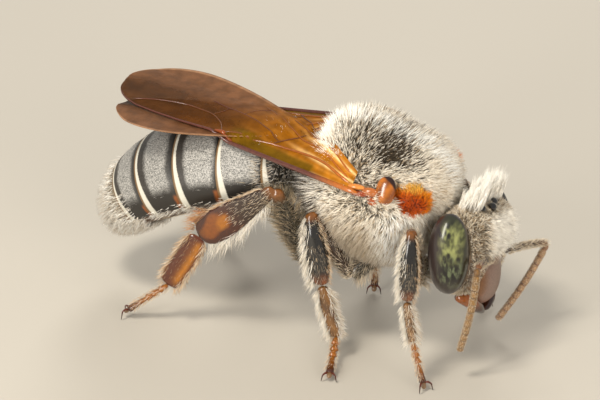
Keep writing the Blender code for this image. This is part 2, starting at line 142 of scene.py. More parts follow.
def newObject(name, data):
    thing = bpy.data.objects.new(name, data)
    bpy.context.scene.collection.objects.link(thing)
    return thing


def painted(bm, place):
    # moves every point to where place(co) says, and keeps the colour that it gives
    paint = bm.verts.layers.float_color.new("markings")
    for v in bm.verts:
        v.co, color = place(v.co)
        v[paint] = (*color[:3], color[3] if len(color) > 3 else 1.0)
    return bm


def cutLengthways(bm, cuts):
    lengthways = [e for e in bm.edges if abs(e.verts[0].co.z - e.verts[1].co.z) > 0.5]
    bmesh.ops.subdivide_edges(bm, edges=lengthways, cuts=cuts)


def roundPoint(share, angle, halfX, halfY, length, bend=0.0):
    # a point on a tube's side, in the tube's own frame
    return Vector((halfX * math.cos(angle) + bend, halfY * math.sin(angle), share * length))


def tube(place, rings=14, around=20):
    # a capped cylinder cut into rings; place(share, angle) gives each point and its colour
    bm = bmesh.new()
    bmesh.ops.create_cone(bm, cap_ends=True, cap_tris=False, segments=around, radius1=1, radius2=1, depth=1)
    cutLengthways(bm, rings - 1)
    return painted(bm, lambda co: place(co.z + 0.5, math.atan2(co.y, co.x)))


def globe(place, around=32, rings=20):
    # a ball; place(direction) gives each point and its colour
    bm = bmesh.new()
    bmesh.ops.create_uvsphere(bm, u_segments=around, v_segments=rings, radius=1.0)
    return painted(bm, lambda co: place(co.copy()))


def joined(parts):
    # several shapes in one bmesh, colours kept
    whole = bmesh.new()
    whole.verts.layers.float_color.new("markings")
    scratch = bpy.data.meshes.new("scratch")
    for part in parts:
        part.to_mesh(scratch)
        part.free()
        whole.from_mesh(scratch)
    bpy.data.meshes.remove(scratch)
    return whole


def finishPiece(bm, name, material, nodes=()):
    bmesh.ops.recalc_face_normals(bm, faces=bm.faces)
    bm.transform(Matrix.Translation(middle) @ Matrix.Scale(mm, 4))
    mesh = bpy.data.meshes.new(name)
    bm.to_mesh(mesh)
    bm.free()
    mesh.shade_smooth()
    mesh.materials.append(material)
    piece = newObject(name, mesh)
    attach(piece, "root")
    if nodes:
        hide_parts(*nodes)
    return piece


def makeShader(name, roughness, **fixed):
    material = bpy.data.materials.new(name)
    material.use_nodes = True
    shader = material.node_tree.nodes["Principled BSDF"]
    shader.inputs["Roughness"].default_value = roughness
    for label, value in fixed.items():
        shader.inputs[label.replace("_", " ")].default_value = value
    return material, material.node_tree, shader


def addNode(tree, kind, **settings):
    node = tree.nodes.new(kind)
    for label, value in settings.items():
        if label in node.inputs:
            node.inputs[label].default_value = value
        else:
            setattr(node, label, value)
    return node


def mixColor(tree, blend, factor, first, second):
    # a colour mix; each of factor, first and second is a value or a socket
    node = tree.nodes.new("ShaderNodeMix")
    node.data_type = "RGBA"
    node.blend_type = blend
    for socket, value in zip((node.inputs[0], node.inputs[6], node.inputs[7]), (factor, first, second)):
        if isinstance(value, bpy.types.NodeSocket):
            tree.links.new(value, socket)
        elif isinstance(value, tuple):
            socket.default_value = (*value, 1)
        else:
            socket.default_value = value
    return node.outputs[2]


def noiseAt(tree, scale, detail=3.0, rough=0.55, kind="ShaderNodeTexNoise"):
    # noise in object space, scale in features per millimetre
    coords = tree.nodes.new("ShaderNodeTexCoord")
    node = tree.nodes.new(kind)
    node.inputs["Scale"].default_value = scale / mm
    if "Detail" in node.inputs:
        node.inputs["Detail"].default_value = detail
    if "Roughness" in node.inputs:
        node.inputs["Roughness"].default_value = rough
    tree.links.new(coords.outputs["Object"], node.inputs["Vector"])
    return node


def ramp(tree, source, stops):
    node = tree.nodes.new("ShaderNodeValToRGB")
    while len(node.color_ramp.elements) < len(stops):
        node.color_ramp.elements.new(0.5)
    for element, (place, color) in zip(node.color_ramp.elements, stops):
        element.position = place
        element.color = (*color, 1) if isinstance(color, tuple) else (color, color, color, 1)
    tree.links.new(source, node.inputs["Fac"])
    return node.outputs["Color"]


def step(tree, source, low, high, first=0.0, last=1.0):
    # a mask that runs from first at low to last at high
    return ramp(tree, source, ((low, first), (high, last)))


def layered(tree, color, layers):
    # lays colours over a first one, each by its mask
    for mask, over in layers:
        color = mixColor(tree, "MIX", mask, color, over)
    return color


def shifted(tree, noise, amount, base):
    # a base number moved a little by noise
    node = addNode(tree, "ShaderNodeMath", operation="MULTIPLY_ADD")
    tree.links.new(noise.outputs["Fac"], node.inputs[0])
    node.inputs[1].default_value = amount
    tree.links.new(base, node.inputs[2])
    return node.outputs[0]


def marksOf(tree, label="markings"):
    return addNode(tree, "ShaderNodeAttribute", attribute_name=label).outputs


def splitMarks(tree):
    # the markings, and the three numbers held in their colour
    marks = marksOf(tree)
    split = tree.nodes.new("ShaderNodeSeparateColor")
    tree.links.new(marks["Color"], split.inputs["Color"])
    return marks, split.outputs


def bumpFrom(tree, shader, source, strength, distance):
    node = addNode(tree, "ShaderNodeBump", Strength=strength, Distance=distance * mm)
    tree.links.new(source, node.inputs["Height"])
    tree.links.new(node.outputs["Normal"], shader.inputs["Normal"])


def markedShell(name, roughness, grain=0.12, bump=0.25, scale=14, depth=0.01, **fixed):
    # a shell that takes its colour from the markings attribute, with fine grain
    material, tree, shader = makeShader(name, roughness, **fixed)
    grainNoise = noiseAt(tree, scale)
    shade = step(tree, grainNoise.outputs["Fac"], 0.3, 0.7, 1 - grain * 2, 1 + grain)
    tree.links.new(mixColor(tree, "MULTIPLY", 1.0, marksOf(tree)["Color"], shade), shader.inputs["Base Color"])
    bumpFrom(tree, shader, grainNoise.outputs["Fac"], bump, depth)
    return material


finishes = {
    "legShell": markedShell("legShell", 0.2, Coat_Weight=0.6, Coat_Roughness=0.08, Specular_IOR_Level=0.5),
    "amberShell": markedShell("amberShell", 0.2, 0.1, 0.15, 10, 0.006, Coat_Weight=0.7, Coat_Roughness=0.08,
                              Subsurface_Weight=0.06, Subsurface_Scale=0.1 * mm),
    "bodyShell": markedShell("bodyShell", 0.5, 0.2, 0.5, 22, 0.012),
    "faceShell": markedShell("faceShell", 0.42, 0.16, 0.4, 26, 0.008, Coat_Weight=0.15, Coat_Roughness=0.25),
    "antennaShell": markedShell("antennaShell", 0.42, 0.3, 0.6, 30, 0.008, Sheen_Weight=0.3),
}
amberShader = finishes["amberShell"].node_tree.nodes["Principled BSDF"]
amberShader.inputs["Subsurface Radius"].default_value = (1.0, 0.4, 0.12)


def makeCoatFinish():
    material, tree, shader = makeShader("coatHair", 0.5, Sheen_Weight=0.12, Specular_IOR_Level=0.25)
    tree.links.new(marksOf(tree, "coatColor")["Color"], shader.inputs["Base Color"])
    return material


finishes["coatHair"] = makeCoatFinish()

cream = tint(238, 226, 204)
white = tint(251, 248, 240)
tan = tint(190, 168, 136)
darkHair = tint(74, 62, 46)


def hairTemplate():
    # one hair: a three-sided spike, as points and the corners of its triangles
    bm = bmesh.new()
    bmesh.ops.create_cone(bm, cap_ends=True, segments=3, radius1=1, radius2=0, depth=1)
    cutLengthways(bm, 1)
    bmesh.ops.triangulate(bm, faces=bm.faces)
    bmesh.ops.recalc_face_normals(bm, faces=bm.faces)
    bm.verts.ensure_lookup_table()
    points = np.array([v.co[:] for v in bm.verts])
    corners = np.array([[v.index for v in f.verts] for f in bm.faces])
    bm.free()
    return points, corners


hairPoints, hairCorners = hairTemplate()
hairNames = ("roots", "ways", "bends", "lengths", "girths", "colors", "maps")
mapPatch = 0.0015  # half the width of a hair's patch on the map
pieceTriangles = 195000  # the most in one coat piece
coatTriangles = 0


def gathered(rows):
    # rows of arrays in the order of hairNames, as one set of hairs
    return {name: np.concatenate([row[k] for row in rows]) for k, name in enumerate(hairNames)}


def growCoat(name, seed, hairs):
    # joins many hairs into pieces; hairs holds arrays of roots, ways out, bends of the tips, lengths,
    # girths, colours and places on the skin's map
    global coatTriangles
    points, corners = hairPoints, hairCorners
    rng = np.random.default_rng(seed)
    count = len(hairs["roots"])
    coatTriangles += count * len(corners)
    ways = unitRows(hairs["ways"])
    share = points[:, 2] + 0.5
    angle = np.arctan2(points[:, 1], points[:, 0])
    across = np.cross(ways, rng.normal(size=(count, 3)))
    across = unitRows(across)
    other = np.cross(ways, across)
    girth = np.where(share > 0.999, 0.0, 1 - 0.55 * share ** 1.5)
    line = hairs["roots"][:, None] + hairs["lengths"][:, None, None] * (
        share[None, :, None] * ways[:, None] + (share ** 2)[None, :, None] * hairs["bends"][:, None])
    ring = np.cos(angle)[None, :, None] * across[:, None] + np.sin(angle)[None, :, None] * other[:, None]
    spots = (line + ring * (hairs["girths"][:, None] * girth[None])[:, :, None]) * mm + np.array(middle)
    # each hair is painted darker at its root and lighter at its tip: painted shade deep in the coat
    tones = hairs["colors"][:, None] * (0.8 + 0.25 * share)[None, :, None]
    patch = mapPatch * np.stack((np.cos(angle), np.sin(angle)), 1) * (1 - share)[:, None]
    pieceHairs = pieceTriangles // len(corners)
    for part, first in enumerate(range(0, count, pieceHairs), start=1):
        chosen = slice(first, min(first + pieceHairs, count))
        total = chosen.stop - chosen.start
        ends = (corners[None] + (np.arange(total) * len(share))[:, None, None]).reshape(-1)
        mesh = bpy.data.meshes.new(f"{name}_{part}")
        mesh.vertices.add(total * len(share))
        mesh.vertices.foreach_set("co", spots[chosen].astype(np.float32).ravel())
        mesh.loops.add(len(ends))
        mesh.loops.foreach_set("vertex_index", ends.astype(np.int32))
        mesh.polygons.add(len(ends) // 3)
        mesh.polygons.foreach_set("loop_start", np.arange(0, len(ends), 3, dtype=np.int32))
        mesh.update(calc_edges=True)
        shade = mesh.color_attributes.new("coatColor", "FLOAT_COLOR", "POINT")
        rgba = np.ones((total, len(share), 4), np.float32)
        rgba[:, :, :3] = np.clip(tones[chosen], 0, 1)
        shade.data.foreach_set("color", rgba.ravel())
        flat = mesh.uv_layers.new(name="OFBake")
        places = hairs["maps"][chosen][:, None] + patch[None]
        flat.data.foreach_set("uv", places.reshape(-1, 2)[ends].astype(np.float32).ravel())
        mesh.shade_smooth()
        mesh.materials.append(finishes["coatHair"])
        piece = newObject(f"{name}_{part}", mesh)
        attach(piece, "root")


def blend(colors, chosen, color):
    # gives the chosen hairs another colour
    return np.where(chosen[:, None], np.array(color)[None], colors)


def shades(first, second, share):
    share = np.clip(share, 0, 1)[:, None]
    return np.array(first)[None] * (1 - share) + np.array(second)[None] * share


def scatter(rng, count):
    # directions spread evenly over a ball
    ways = rng.normal(size=(count, 3))
    return unitRows(ways)


def clumps(roots, pitch):
    # draws neighbouring tips together: a wavy field that changes over a short distance
    turned = roots @ np.array(((0.8, 0.36, -0.48), (-0.6, 0.48, -0.64), (0, 0.8, 0.6)))
    return np.sin(turned * pitch + 1.3 * np.sin(turned[:, (1, 2, 0)] * pitch * 0.37))


thorax = {
    "centre": (-0.25, 0.0, 0.0), "radii": (1.66, 1.72, 1.86), "power": 2.15, "frontSlope": 0.27,
    "hairs": 58000, "hairLength": 0.44, "hairGirth": 0.0118, "clump": 0.15,
    "rearRise": 0.1, "frontDip": 0.36,
    "disc": (-0.3, 0.64), "discRadii": (1.34, 0.8), "discHeight": (0.6, 1.1),
    "tegula": {"R": (0.38, -1.72, 0.75), "L": (0.3, 1.6, 0.58)},
    "tegulaRadii": (0.27, 0.14, 0.37), "tegulaPower": 2.2, "tegulaLean": math.radians(25),
    "lobe": {"R": (0.93, -1.32, 0.36), "L": (0.76, 1.4, 0.22)},
    "lobeRadii": (0.41, 0.17, 0.29), "lobeHairs": 4600,
    # the hinge plates between the tegula and the wing's root: place, radii and colour
    "hingePlates": (
        ((-0.02, 1.82, 0.67), (0.24, 0.1, 0.13), tint(158, 88, 36)),
        ((-0.3, 1.87, 0.6), (0.24, 0.09, 0.08), tint(130, 52, 14)),
        ((0.02, 1.83, 0.48), (0.17, 0.1, 0.07), tint(150, 70, 24)),
        ((-0.4, 1.82, 0.76), (0.24, 0.09, 0.07), tint(196, 122, 52)),
        ((0.04, 1.78, 0.38), (0.16, 0.12, 0.1), tint(168, 84, 30))),
    "wingRoot": (-0.36, 1.72, 0.6), "wingRootReach": (0.34, 0.5, 0.1),
    "neck": ((1.1, 0, -0.7), (1.9, 0, -1.0), 0.5),
}


def superPoints(ways, radii, power):
    # points of a superellipsoid in the given directions, and their outward normals
    ways = np.asarray(ways, float)
    size = (np.abs(ways) ** power).sum(1) ** (1 / power)
    unit = ways / size[:, None]
    points = unit * np.array(radii)
    normals = np.sign(unit) * np.abs(unit) ** (power - 1) / np.array(radii)
    return points, unitRows(normals)


def thoraxPoints(ways):
    points, normals = superPoints(ways, thorax["radii"], thorax["power"])
    ahead = np.clip(points[:, 0], 0, None) / thorax["radii"][0]
    points[:, 2] -= thorax["frontSlope"] * ahead * np.clip(points[:, 2], 0, None)
    x, upper = points[:, 0], ease(0.2, 1.2, points[:, 2])
    points[:, 2] += upper * (thorax["rearRise"] * np.exp(-((x + 1.4) / 0.5) ** 2)
                             - thorax["frontDip"] * np.exp(-((x - 0.2) / 0.8) ** 2))
    return points + np.array(thorax["centre"]), normals


def discMask(points):
    # 1 on the dark, thinly haired patches on top of the thorax, 0 outside
    x, y = thorax["disc"]
    rx, ry = thorax["discRadii"]
    reach = np.sqrt(((points[:, 0] - x) / rx) ** 2 + ((np.abs(points[:, 1]) - y) / ry) ** 2)
    front = 0.6 + 0.4 * ease(-0.6, 0.3, points[:, 0])
    lesser = 1 - 0.6 * ease(0.0, 0.3, points[:, 1])  # the left patch is fainter
    return (1 - ease(0.35, 1.08, reach)) * ease(*thorax["discHeight"], points[:, 2]) * front * lesser


def makeThorax():
    darkPlate, sidePlate = tint(70, 60, 46), tint(196, 178, 148)

    def place(way):
        points = thoraxPoints([way[:]])[0]
        return Vector(points[0]), mix(sidePlate, darkPlate, float(discMask(points)[0]))

    start, end, radius = thorax["neck"]
    neckFrame = aim(start, end, (0, 1, 0))
    length = (Vector(end) - Vector(start)).length

    def neckPlace(share, angle):
        return neckFrame @ roundPoint(share, angle, radius, radius, length), sidePlate

    shape = joined([globe(place, 96, 64), tube(neckPlace, 6, 24)])
    finishPiece(shape, "thoraxSkin", finishes["bodyShell"], ("thorax", "scutellum", "propodeum"))


def growThorax():
    rng = np.random.default_rng(11)
    ways = scatter(rng, thorax["hairs"])
    roots, normals = thoraxPoints(ways)
    x, y, z = roots.T
    disc = discMask(roots)
    keep = rng.random(len(roots)) > 0.35 * disc
    for side, sign in sides.items():
        # no hair grows through the tegula, the lobe and the wing's root
        for spot, reach in ((thorax["tegula"][side] - np.array((0.02, 0, 0.12)), (0.2, 1.0, 0.2)),
                            (thorax["lobe"][side] - np.array((0.08, 0, -0.05)), (0.43, 0.5, 0.32)),
                            (np.array(thorax["wingRoot"]) * (1, sign, 1), thorax["wingRootReach"])):
            keep &= np.linalg.norm((roots - np.array(spot)) / reach, axis=1) > 1
    keep &= ~((x > 1.2) & (np.abs(y) < 0.5) & (z < -0.4))  # behind the head
    roots, normals, disc, ways = roots[keep], normals[keep], disc[keep], ways[keep]
    x, y, z = roots.T
    count = len(roots)
    front, rear, low, upper = ease(0.2, 1.2, x), ease(-0.8, -1.6, x), ease(0.3, -0.9, z), ease(-0.4, 0.6, z)
    crest = ease(0.34, 0.14, np.abs(y)) * upper  # longer upright hair along the middle of the back
    lay = np.stack((0.5 * upper - 0.35 * low, np.zeros(count), 0.35 * upper * (1 - front) - 0.75 * low), 1)
    lay += 0.16 * np.sin(roots @ np.array(((2.6, 1.1, 0.4), (0.3, 1.9, 2.1), (1.7, 0.2, 2.3))))
    lay -= normals * (lay * normals).sum(1)[:, None]
    lengths = thorax["hairLength"] * (1 - 0.45 * disc) * rng.uniform(0.7, 1.1, count)
    lengths *= 1 + 0.08 * rear - 0.12 * low + 0.16 * crest
    underWing = np.exp(-((x + 1.05) / 0.6) ** 2 - ((np.abs(y) - 1.35) / 0.4) ** 2 - ((z - 0.9) / 0.42) ** 2)
    waistSide = ease(-1.3, -1.6, x) * ease(0.5, 0.1, z) * ease(-1.6, -1.2, z)
    lengths *= (1 - 0.5 * underWing) * (1 + 0.75 * waistSide)
    collar = np.exp(-((x - 0.55) / 0.36) ** 2) * ease(0.3, -0.1, z) * ease(-1.8, -1.0, z)
    whiteness = np.clip(0.4 + 0.8 * collar + 0.3 * rear + 0.7 * crest, 0, 1)
    # low on the rear the hairs turn tan, and some dark: partly their own colour, partly painted shade on the
    # underside
    shade = np.clip(low * ease(0.4, -0.2, x) * 0.7 * (1 - collar), 0, 1)
    colors = shades(cream, white, whiteness)
    colors = colors * (1 - shade[:, None]) + np.array(tan)[None] * shade[:, None]
    patchy = np.sin(x * 5.1 + 1.3) * np.sin(z * 4.3 + 0.4) * np.sin(x * 2.3 - z * 3.1)
    roll = rng.random(count)
    colors = blend(colors, roll < 0.1 + 0.1 * low + 0.2 * np.clip(patchy, 0, 1) * (1 - collar), tan)
    darkShare = 0.9 * disc + 0.1 * shade * (patchy > 0.1) + 0.5 * waistSide
    colors = blend(colors, rng.random(count) < darkShare, darkHair)
    # the collar's hairs are brightened past their colour: painted light on a patch that lies in shade
    colors = colors * (rng.uniform(0.88, 1.04, count) * (1 + 0.1 * collar))[:, None]
    hairs = {"roots": roots - normals * 0.02,
             "ways": normals + lay * 0.8 + rng.normal(size=(count, 3)) * 0.12,
             "bends": lay * 0.35 + clumps(roots, 34) * thorax["clump"], "lengths": lengths,
             "girths": thorax["hairGirth"] * rng.uniform(0.8, 1.25, count), "colors": colors,
             "maps": ballMap(ways)}
    growCoat("thoraxCoat", 12, hairs)
    print("thorax coat grown:", count)


def makeThoraxPlates():
    amber, dark = tint(112, 56, 12), tint(34, 10, 4)
    for side, sign in sides.items():
        tegulaFrame = Matrix.Translation(thorax["tegula"][side])
        tegulaFrame = tegulaFrame @ Matrix.Rotation(sign * thorax["tegulaLean"], 4, "X")

        def place(way):
            point = superPoints([way[:]], thorax["tegulaRadii"], thorax["tegulaPower"])[0][0]
            rim = float(ease(0.5, 0.62, way.x * 0.3 + way.z * 0.74 + 0.2 * way.x * way.x))
            color = mix(amber, tint(164, 94, 24), 0.5 + 0.5 * math.sin(5 * way.x - 4 * way.z))
            return tegulaFrame @ Vector(point), mix(color, dark, rim)

        bits = [globe(place, 40, 28)]
        rise = wings["fore"][side]["hinge"][2] - wings["fore"]["R"]["hinge"][2]
        for spot, radii, color in thorax["hingePlates"]:
            centre = Vector((spot[0] - rise, sign * spot[1], spot[2] + rise))
            bits.append(globe(lambda way: (centre + Vector(np.array(way) * radii), color), 20, 12))
        finishPiece(joined(bits), f"tegula{side}", finishes["amberShell"], (f"tegula_{side}",))

        lobeCentre = Vector(thorax["lobe"][side])

        def lobePlace(way):
            return lobeCentre + Vector(np.array(way) * thorax["lobeRadii"]), tint(170, 78, 8)

        finishPiece(globe(lobePlace, 32, 20), f"lobe{side}", finishes["bodyShell"],
                    (f"lobe_{side}",))
        rng = np.random.default_rng(31 + sign)
        ways = scatter(rng, thorax["lobeHairs"])
        ways = ways[ways[:, 1] * sign > -0.45]
        count = len(ways)
        roots, normals = superPoints(ways, thorax["lobeRadii"], 2.0)
        outer = 1 - np.clip(ways[:, 1] * sign, 0, 1)
        # the hairs on top of the lobe are paler gold: painted light from above
        colors = shades(tint(206, 84, 0), tint(236, 146, 20),
                        outer ** 2 * rng.uniform(0.5, 1.3, count) + 0.3 * (ways[:, 2] > 0.3))
        colors = blend(colors, ways[:, 2] + 0.3 * rng.random(count) > 0.86, tint(240, 184, 76))
        colors = colors * rng.uniform(0.62, 1.06, count)[:, None]
        hairs = {"roots": roots + np.array(lobeCentre) - normals * 0.02,
                 "ways": normals * (1.0, 0.55, 1.0) + rng.normal(size=(count, 3)) * 0.2 + (0, 0, 0.3),
                 "bends": np.array((0, 0, 0.2)) + clumps(roots, 30) * 0.22,
                 "lengths": 0.29 * rng.uniform(0.5, 1.1, count) * (1 - 0.6 * np.abs(ways[:, 0] * ways[:, 2])),
                 "girths": 0.0115 * rng.uniform(0.8, 1.2, count),
                 "colors": colors, "maps": ballMap(ways)}
        growCoat(f"lobeCoat{side}", 33 + sign, hairs)


abdomen = {
    "start": (-2.6, 0.1), "droop": 0.17, "droopGain": 0.93, "length": 6.35, "widest": 0.42,
    "halfWidth": 1.82, "rise": 1.5, "drop": 1.1, "fullness": 0.85,
    "waistStart": -0.44, "waistRadius": 0.4, "waistFlare": 1.6, "waistLength": 0.3,
    "ends": (0.58, 1.74, 2.94, 4.1, 4.96, 6.3), "tergalEdge": math.radians(112),
    "feltHairs": 24000, "tailHairs": 9000, "sideHairs": 3400, "frontHairs": 2600,
    "lowHairs": 1500, "bellyHairs": 2600,
}


def droopAt(distance):
    return abdomen["droop"] + abdomen["droopGain"] * (distance / abdomen["length"]) ** 2


def spineAt(distance):
    place = Vector((abdomen["start"][0], 0, abdomen["start"][1]))
    steps = 24
    for k in range(steps):
        droop = droopAt(distance * (k + 0.5) / steps)
        place += Vector((-math.cos(droop), 0, -math.sin(droop))) * distance / steps
    return place, droopAt(distance)


def fullnessAt(distance):
    share = distance / abdomen["length"] - abdomen["widest"]
    reach = 1 - abdomen["widest"] if share > 0 else abdomen["widest"] + 0.1
    return math.sqrt(max(0.0, 1 - (share / reach) ** 2)) ** abdomen["fullness"]


spineRows = np.linspace(abdomen["waistStart"], abdomen["length"], 140)
spineTable = []
for distance in spineRows:
    inside = max(distance, 0.0)
    place, droop = spineAt(inside)
    place.x -= distance - inside
    size = fullnessAt(inside)
    if distance < abdomen["waistLength"]:
        size = min(size, abdomen["waistRadius"] / abdomen["rise"] + inside * abdomen["waistFlare"])
    spineTable.append((place.x, place.z, droop, size))
spineTable = np.array(spineTable)


def abdomenPoints(distance, angle, sink):
    # points on the abdomen: angle 0 on top, growing down the left side; sink is the depth below the solid
    distance, angle, sink = np.broadcast_arrays(*map(np.atleast_1d, (distance, angle, sink)))
    x, z, droop, size = (np.interp(distance, spineRows, spineTable[:, k]) for k in range(4))
    tall = np.where(np.cos(angle) > 0, abdomen["rise"], abdomen["drop"])
    up = (tall * size - sink) * np.cos(angle)
    out = (abdomen["halfWidth"] * size - sink) * np.sin(angle)
    return np.stack((x - np.sin(droop) * up, out, z + np.cos(droop) * up), 1)


def abdomenSurface(distance, angle, sink):
    # points with their outward normals and the direction along the body to the rear
    gap = 0.02
    points = abdomenPoints(distance, angle, sink)
    along = abdomenPoints(distance + gap, angle, sink) - abdomenPoints(distance - gap, angle, sink)
    sweep = abdomenPoints(distance, angle + gap, sink) - abdomenPoints(distance, angle - gap, sink)
    normals = unitRows(np.cross(along, sweep))
    centre = np.stack((np.interp(distance, spineRows, spineTable[:, 0]), np.zeros(len(normals)),
                       np.interp(distance, spineRows, spineTable[:, 1])), 1)
    normals *= np.sign(((points - centre) * normals).sum(1))[:, None]
    return points, normals, unitRows(along)


def makeAbdomen():
    # one shell for each ring; the rear rim of each lies over the next
    material = makeTergiteFinish()
    start = abdomen["waistStart"]
    rimStart = 0.965  # share of the shell where its rim turns in
    for number, end in enumerate(abdomen["ends"], start=1):
        last = number == len(abdomen["ends"])
        first = start - (0.0 if number == 1 else 0.16)
        reach = abdomen["length"] - 0.005 if last else end + 0.03
        neckDepth = 0.05 if number == 1 else 0.15
        tuck = smoothTable(((0, neckDepth), (0.1, 0.075), (0.25, 0.045), (0.7, 0.035), (1, 0.03)), 0.05)

        def place(share, angle):
            across = 1.0 if last else rimStart
            run = min(share / across, 1.0)
            distance = first + (reach - first) * run
            sink = tuck(run)[0] + (0.0 if last else 0.11 * max(0.0, (share - rimStart) / (1 - rimStart)) ** 1.5)
            turn = (angle + math.pi / 2) % (2 * math.pi)
            turn = turn if turn < math.pi else turn - 2 * math.pi
            edge = abdomen["tergalEdge"]
            belly = float(ease(edge - 0.03, edge + 0.05, abs(turn)))
            sink += 0.08 * belly
            point = abdomenPoints(distance, turn, sink)[0]
            along = min(max((distance - start) / (end - start), 0.0), 1.0)
            # the pale rim widens down the sides
            width = 0.07 + 0.12 * float(ease(0.7, 1.75, abs(turn)))
            along = along * 0.9 / (1 - width) if along < 1 - width else 0.9 + 0.1 * (along - 1 + width) / width
            return Vector(point), (along, abs(turn) / math.pi, number / 8, belly)

        finishPiece(tube(place, 60, 112), f"tergitePlate{number}", material,
                    (f"tergite_{number}",))
        start = end


def makeTergiteFinish():
    # red holds the share along the ring, green the share from back to belly, blue the ring's number
    material, tree, shader = makeShader("tergiteShell", 0.5, Coat_Weight=0.12, Coat_Roughness=0.3)
    marks, (along, around, number) = splitMarks(tree)
    wobble, speckle = noiseAt(tree, 2.2, 2.0), noiseAt(tree, 30, 2.5, 0.75)
    shift = shifted(tree, wobble, 0.12, along)
    sideEdge = shifted(tree, wobble, 0.06, around)
    ragged = shifted(tree, speckle, 0.04, along)

    def both(first, second):
        return mixColor(tree, "MULTIPLY", 1.0, first, second)

    felt = ramp(tree, speckle.outputs["Fac"], (
        (0.3, tint(52, 52, 50)), (0.47, tint(126, 125, 121)), (0.6, tint(176, 173, 167))))
    # dark at the front of every ring, painted shadow under the rim of the ring before, then the felt
    plate = mixColor(tree, "MIX", step(tree, shift, 0.1, 0.22), tint(26, 26, 25), felt)
    plate = layered(tree, plate, (
        # the dark front of the later rings, painted shadow under the rim of the ring before, then the dark rear
        # strip, which the first rings hardly have
        (both(step(tree, shift, 0.2, 0.3, 0.85, 0.0), step(tree, number, 0.4, 0.46)), tint(34, 32, 29)),
        (both(step(tree, shift, 0.74, 0.83, 0.0, 0.92), step(tree, number, 0.26, 0.3, 0.12)), tint(34, 28, 22)),
        (step(tree, number, 0.13, 0.2, 1.0, 0.0), tint(44, 42, 38)),  # the waist
        (step(tree, sideEdge, 0.44, 0.5), tint(34, 30, 25)),  # low on the sides
        # orange blotches at the front of a ring, low down
        (both(step(tree, sideEdge, 0.51, 0.535), step(tree, shift, 0.19, 0.24, 1.0, 0.0)), tint(122, 68, 28)),
        (step(tree, ragged, 0.915, 0.932), tint(198, 195, 182)),  # the pale rim and its brown edge
        (step(tree, along, 0.975, 0.99), tint(112, 86, 54)),
        (step(tree, number, 0.68, 0.74, 0.0, 0.85), tint(132, 122, 104)),  # the last ring
        (step(tree, marks["Alpha"], 0.3, 0.6), tint(92, 66, 42))))  # the belly
    tree.links.new(plate, shader.inputs["Base Color"])
    bumpFrom(tree, shader, speckle.outputs["Fac"], 0.4, 0.012)
    return material


def growAbdomen():
    rng = np.random.default_rng(41)
    ends = np.array((abdomen["waistStart"],) + abdomen["ends"])
    length = abdomen["length"]
    rows = []

    def add(count, low, high, widest, lengths, lean, pick, spread=0.25, sink=0.06, girth=0.008, narrowest=0.0):
        distance = rng.uniform(low, high, count)
        angle = rng.uniform(narrowest, widest, count) * rng.choice((-1, 1), count)
        ring = np.searchsorted(ends, distance, "right") - 1
        ring = np.clip(ring, 0, len(ends) - 2)
        along = (distance - ends[ring]) / (ends[ring + 1] - ends[ring])
        keep, colors = pick(count, np.abs(angle), ring + 1, along)
        points, normals, rearward = abdomenSurface(distance, angle, sink)
        maps = onMap(distance.clip(0) / length, angle / (2 * np.pi) + 0.5)
        ways = normals + rearward * lean + rng.normal(size=(count, 3)) * spread
        rows.append([part[keep] for part in (
            points - normals * 0.01, ways, rearward * 0.3 - normals * 0.12 * min(lean, 1.5),
            rng.uniform(*lengths, count), girth * rng.uniform(0.8, 1.2, count), colors, maps)])

    def feltPick(count, angle, ring, along):
        # silver felt in the middle of each ring, thin elsewhere
        inFelt = ease(0.06, 0.16, along - 0.1 * (ring > 3)) * (along < 0.87)
        inFelt = inFelt * (1 - ease(0.66, 0.76, along) * (ring > 2))
        keep = (rng.random(count) < inFelt * (ring > 1)) & (angle < 1.5)
        colors = shades(tint(96, 95, 92), tint(192, 189, 182), rng.random(count))
        return keep, blend(colors, rng.random(count) < 0.2, tint(60, 60, 58))

    def frontPick(count, angle, ring, along):
        return along < 0.82, shades(tan, white, rng.random(count)) * 0.9

    def lowPick(count, angle, ring, along):
        return rng.random(count) < 0.9, shades(tint(70, 64, 50), tint(176, 162, 134), rng.random(count) ** 1.5)

    def tailPick(count, angle, ring, along):
        keep = rng.random(count) < np.where(ring == 6, ease(-0.1, 0.25, along), 0.5 * ease(1.0, 1.6, angle))
        return keep, shades(tan, white, 0.3 + rng.random(count))

    def sidePick(count, angle, ring, along):
        keep = rng.random(count) < 0.15 + 0.85 * ease(0.6, 0.85, along)
        return keep, shades(cream, white, rng.random(count) * 1.4)

    def bellyPick(count, angle, ring, along):
        return rng.random(count) < 0.3 + 0.7 * ease(0.5, 0.9, along), shades(tan, cream, rng.random(count))

    add(abdomen["feltHairs"], 0.5, 4.96, 1.5, (0.06, 0.11), 2.4, feltPick, 0.35, 0.055, 0.0075)
    add(abdomen["frontHairs"], -0.1, 0.75, 2.3, (0.14, 0.26), 0.9, frontPick, 0.45, 0.06, 0.009)
    add(abdomen["lowHairs"], -0.2, 0.9, 3.0, (0.24, 0.5), 0.2, lowPick, 0.45, 0.06, 0.009, 1.45)
    add(abdomen["tailHairs"], 4.6, length - 0.03, math.pi, (0.13, 0.32), 0.8, tailPick, 0.42, 0.06, 0.0085)
    add(abdomen["sideHairs"], 0.6, 5.0, 2.15, (0.1, 0.24), 1.7, sidePick, 0.4, 0.08, 0.0085, 1.78)
    add(abdomen["bellyHairs"], 0.4, 5.0, math.pi, (0.1, 0.18), 2.0, bellyPick, 0.3, 0.13, 0.009, 2.1)
    hairs = gathered(rows)
    growCoat("abdomenCoat", 42, hairs)
    print("abdomen coat grown:", len(hairs["roots"]))


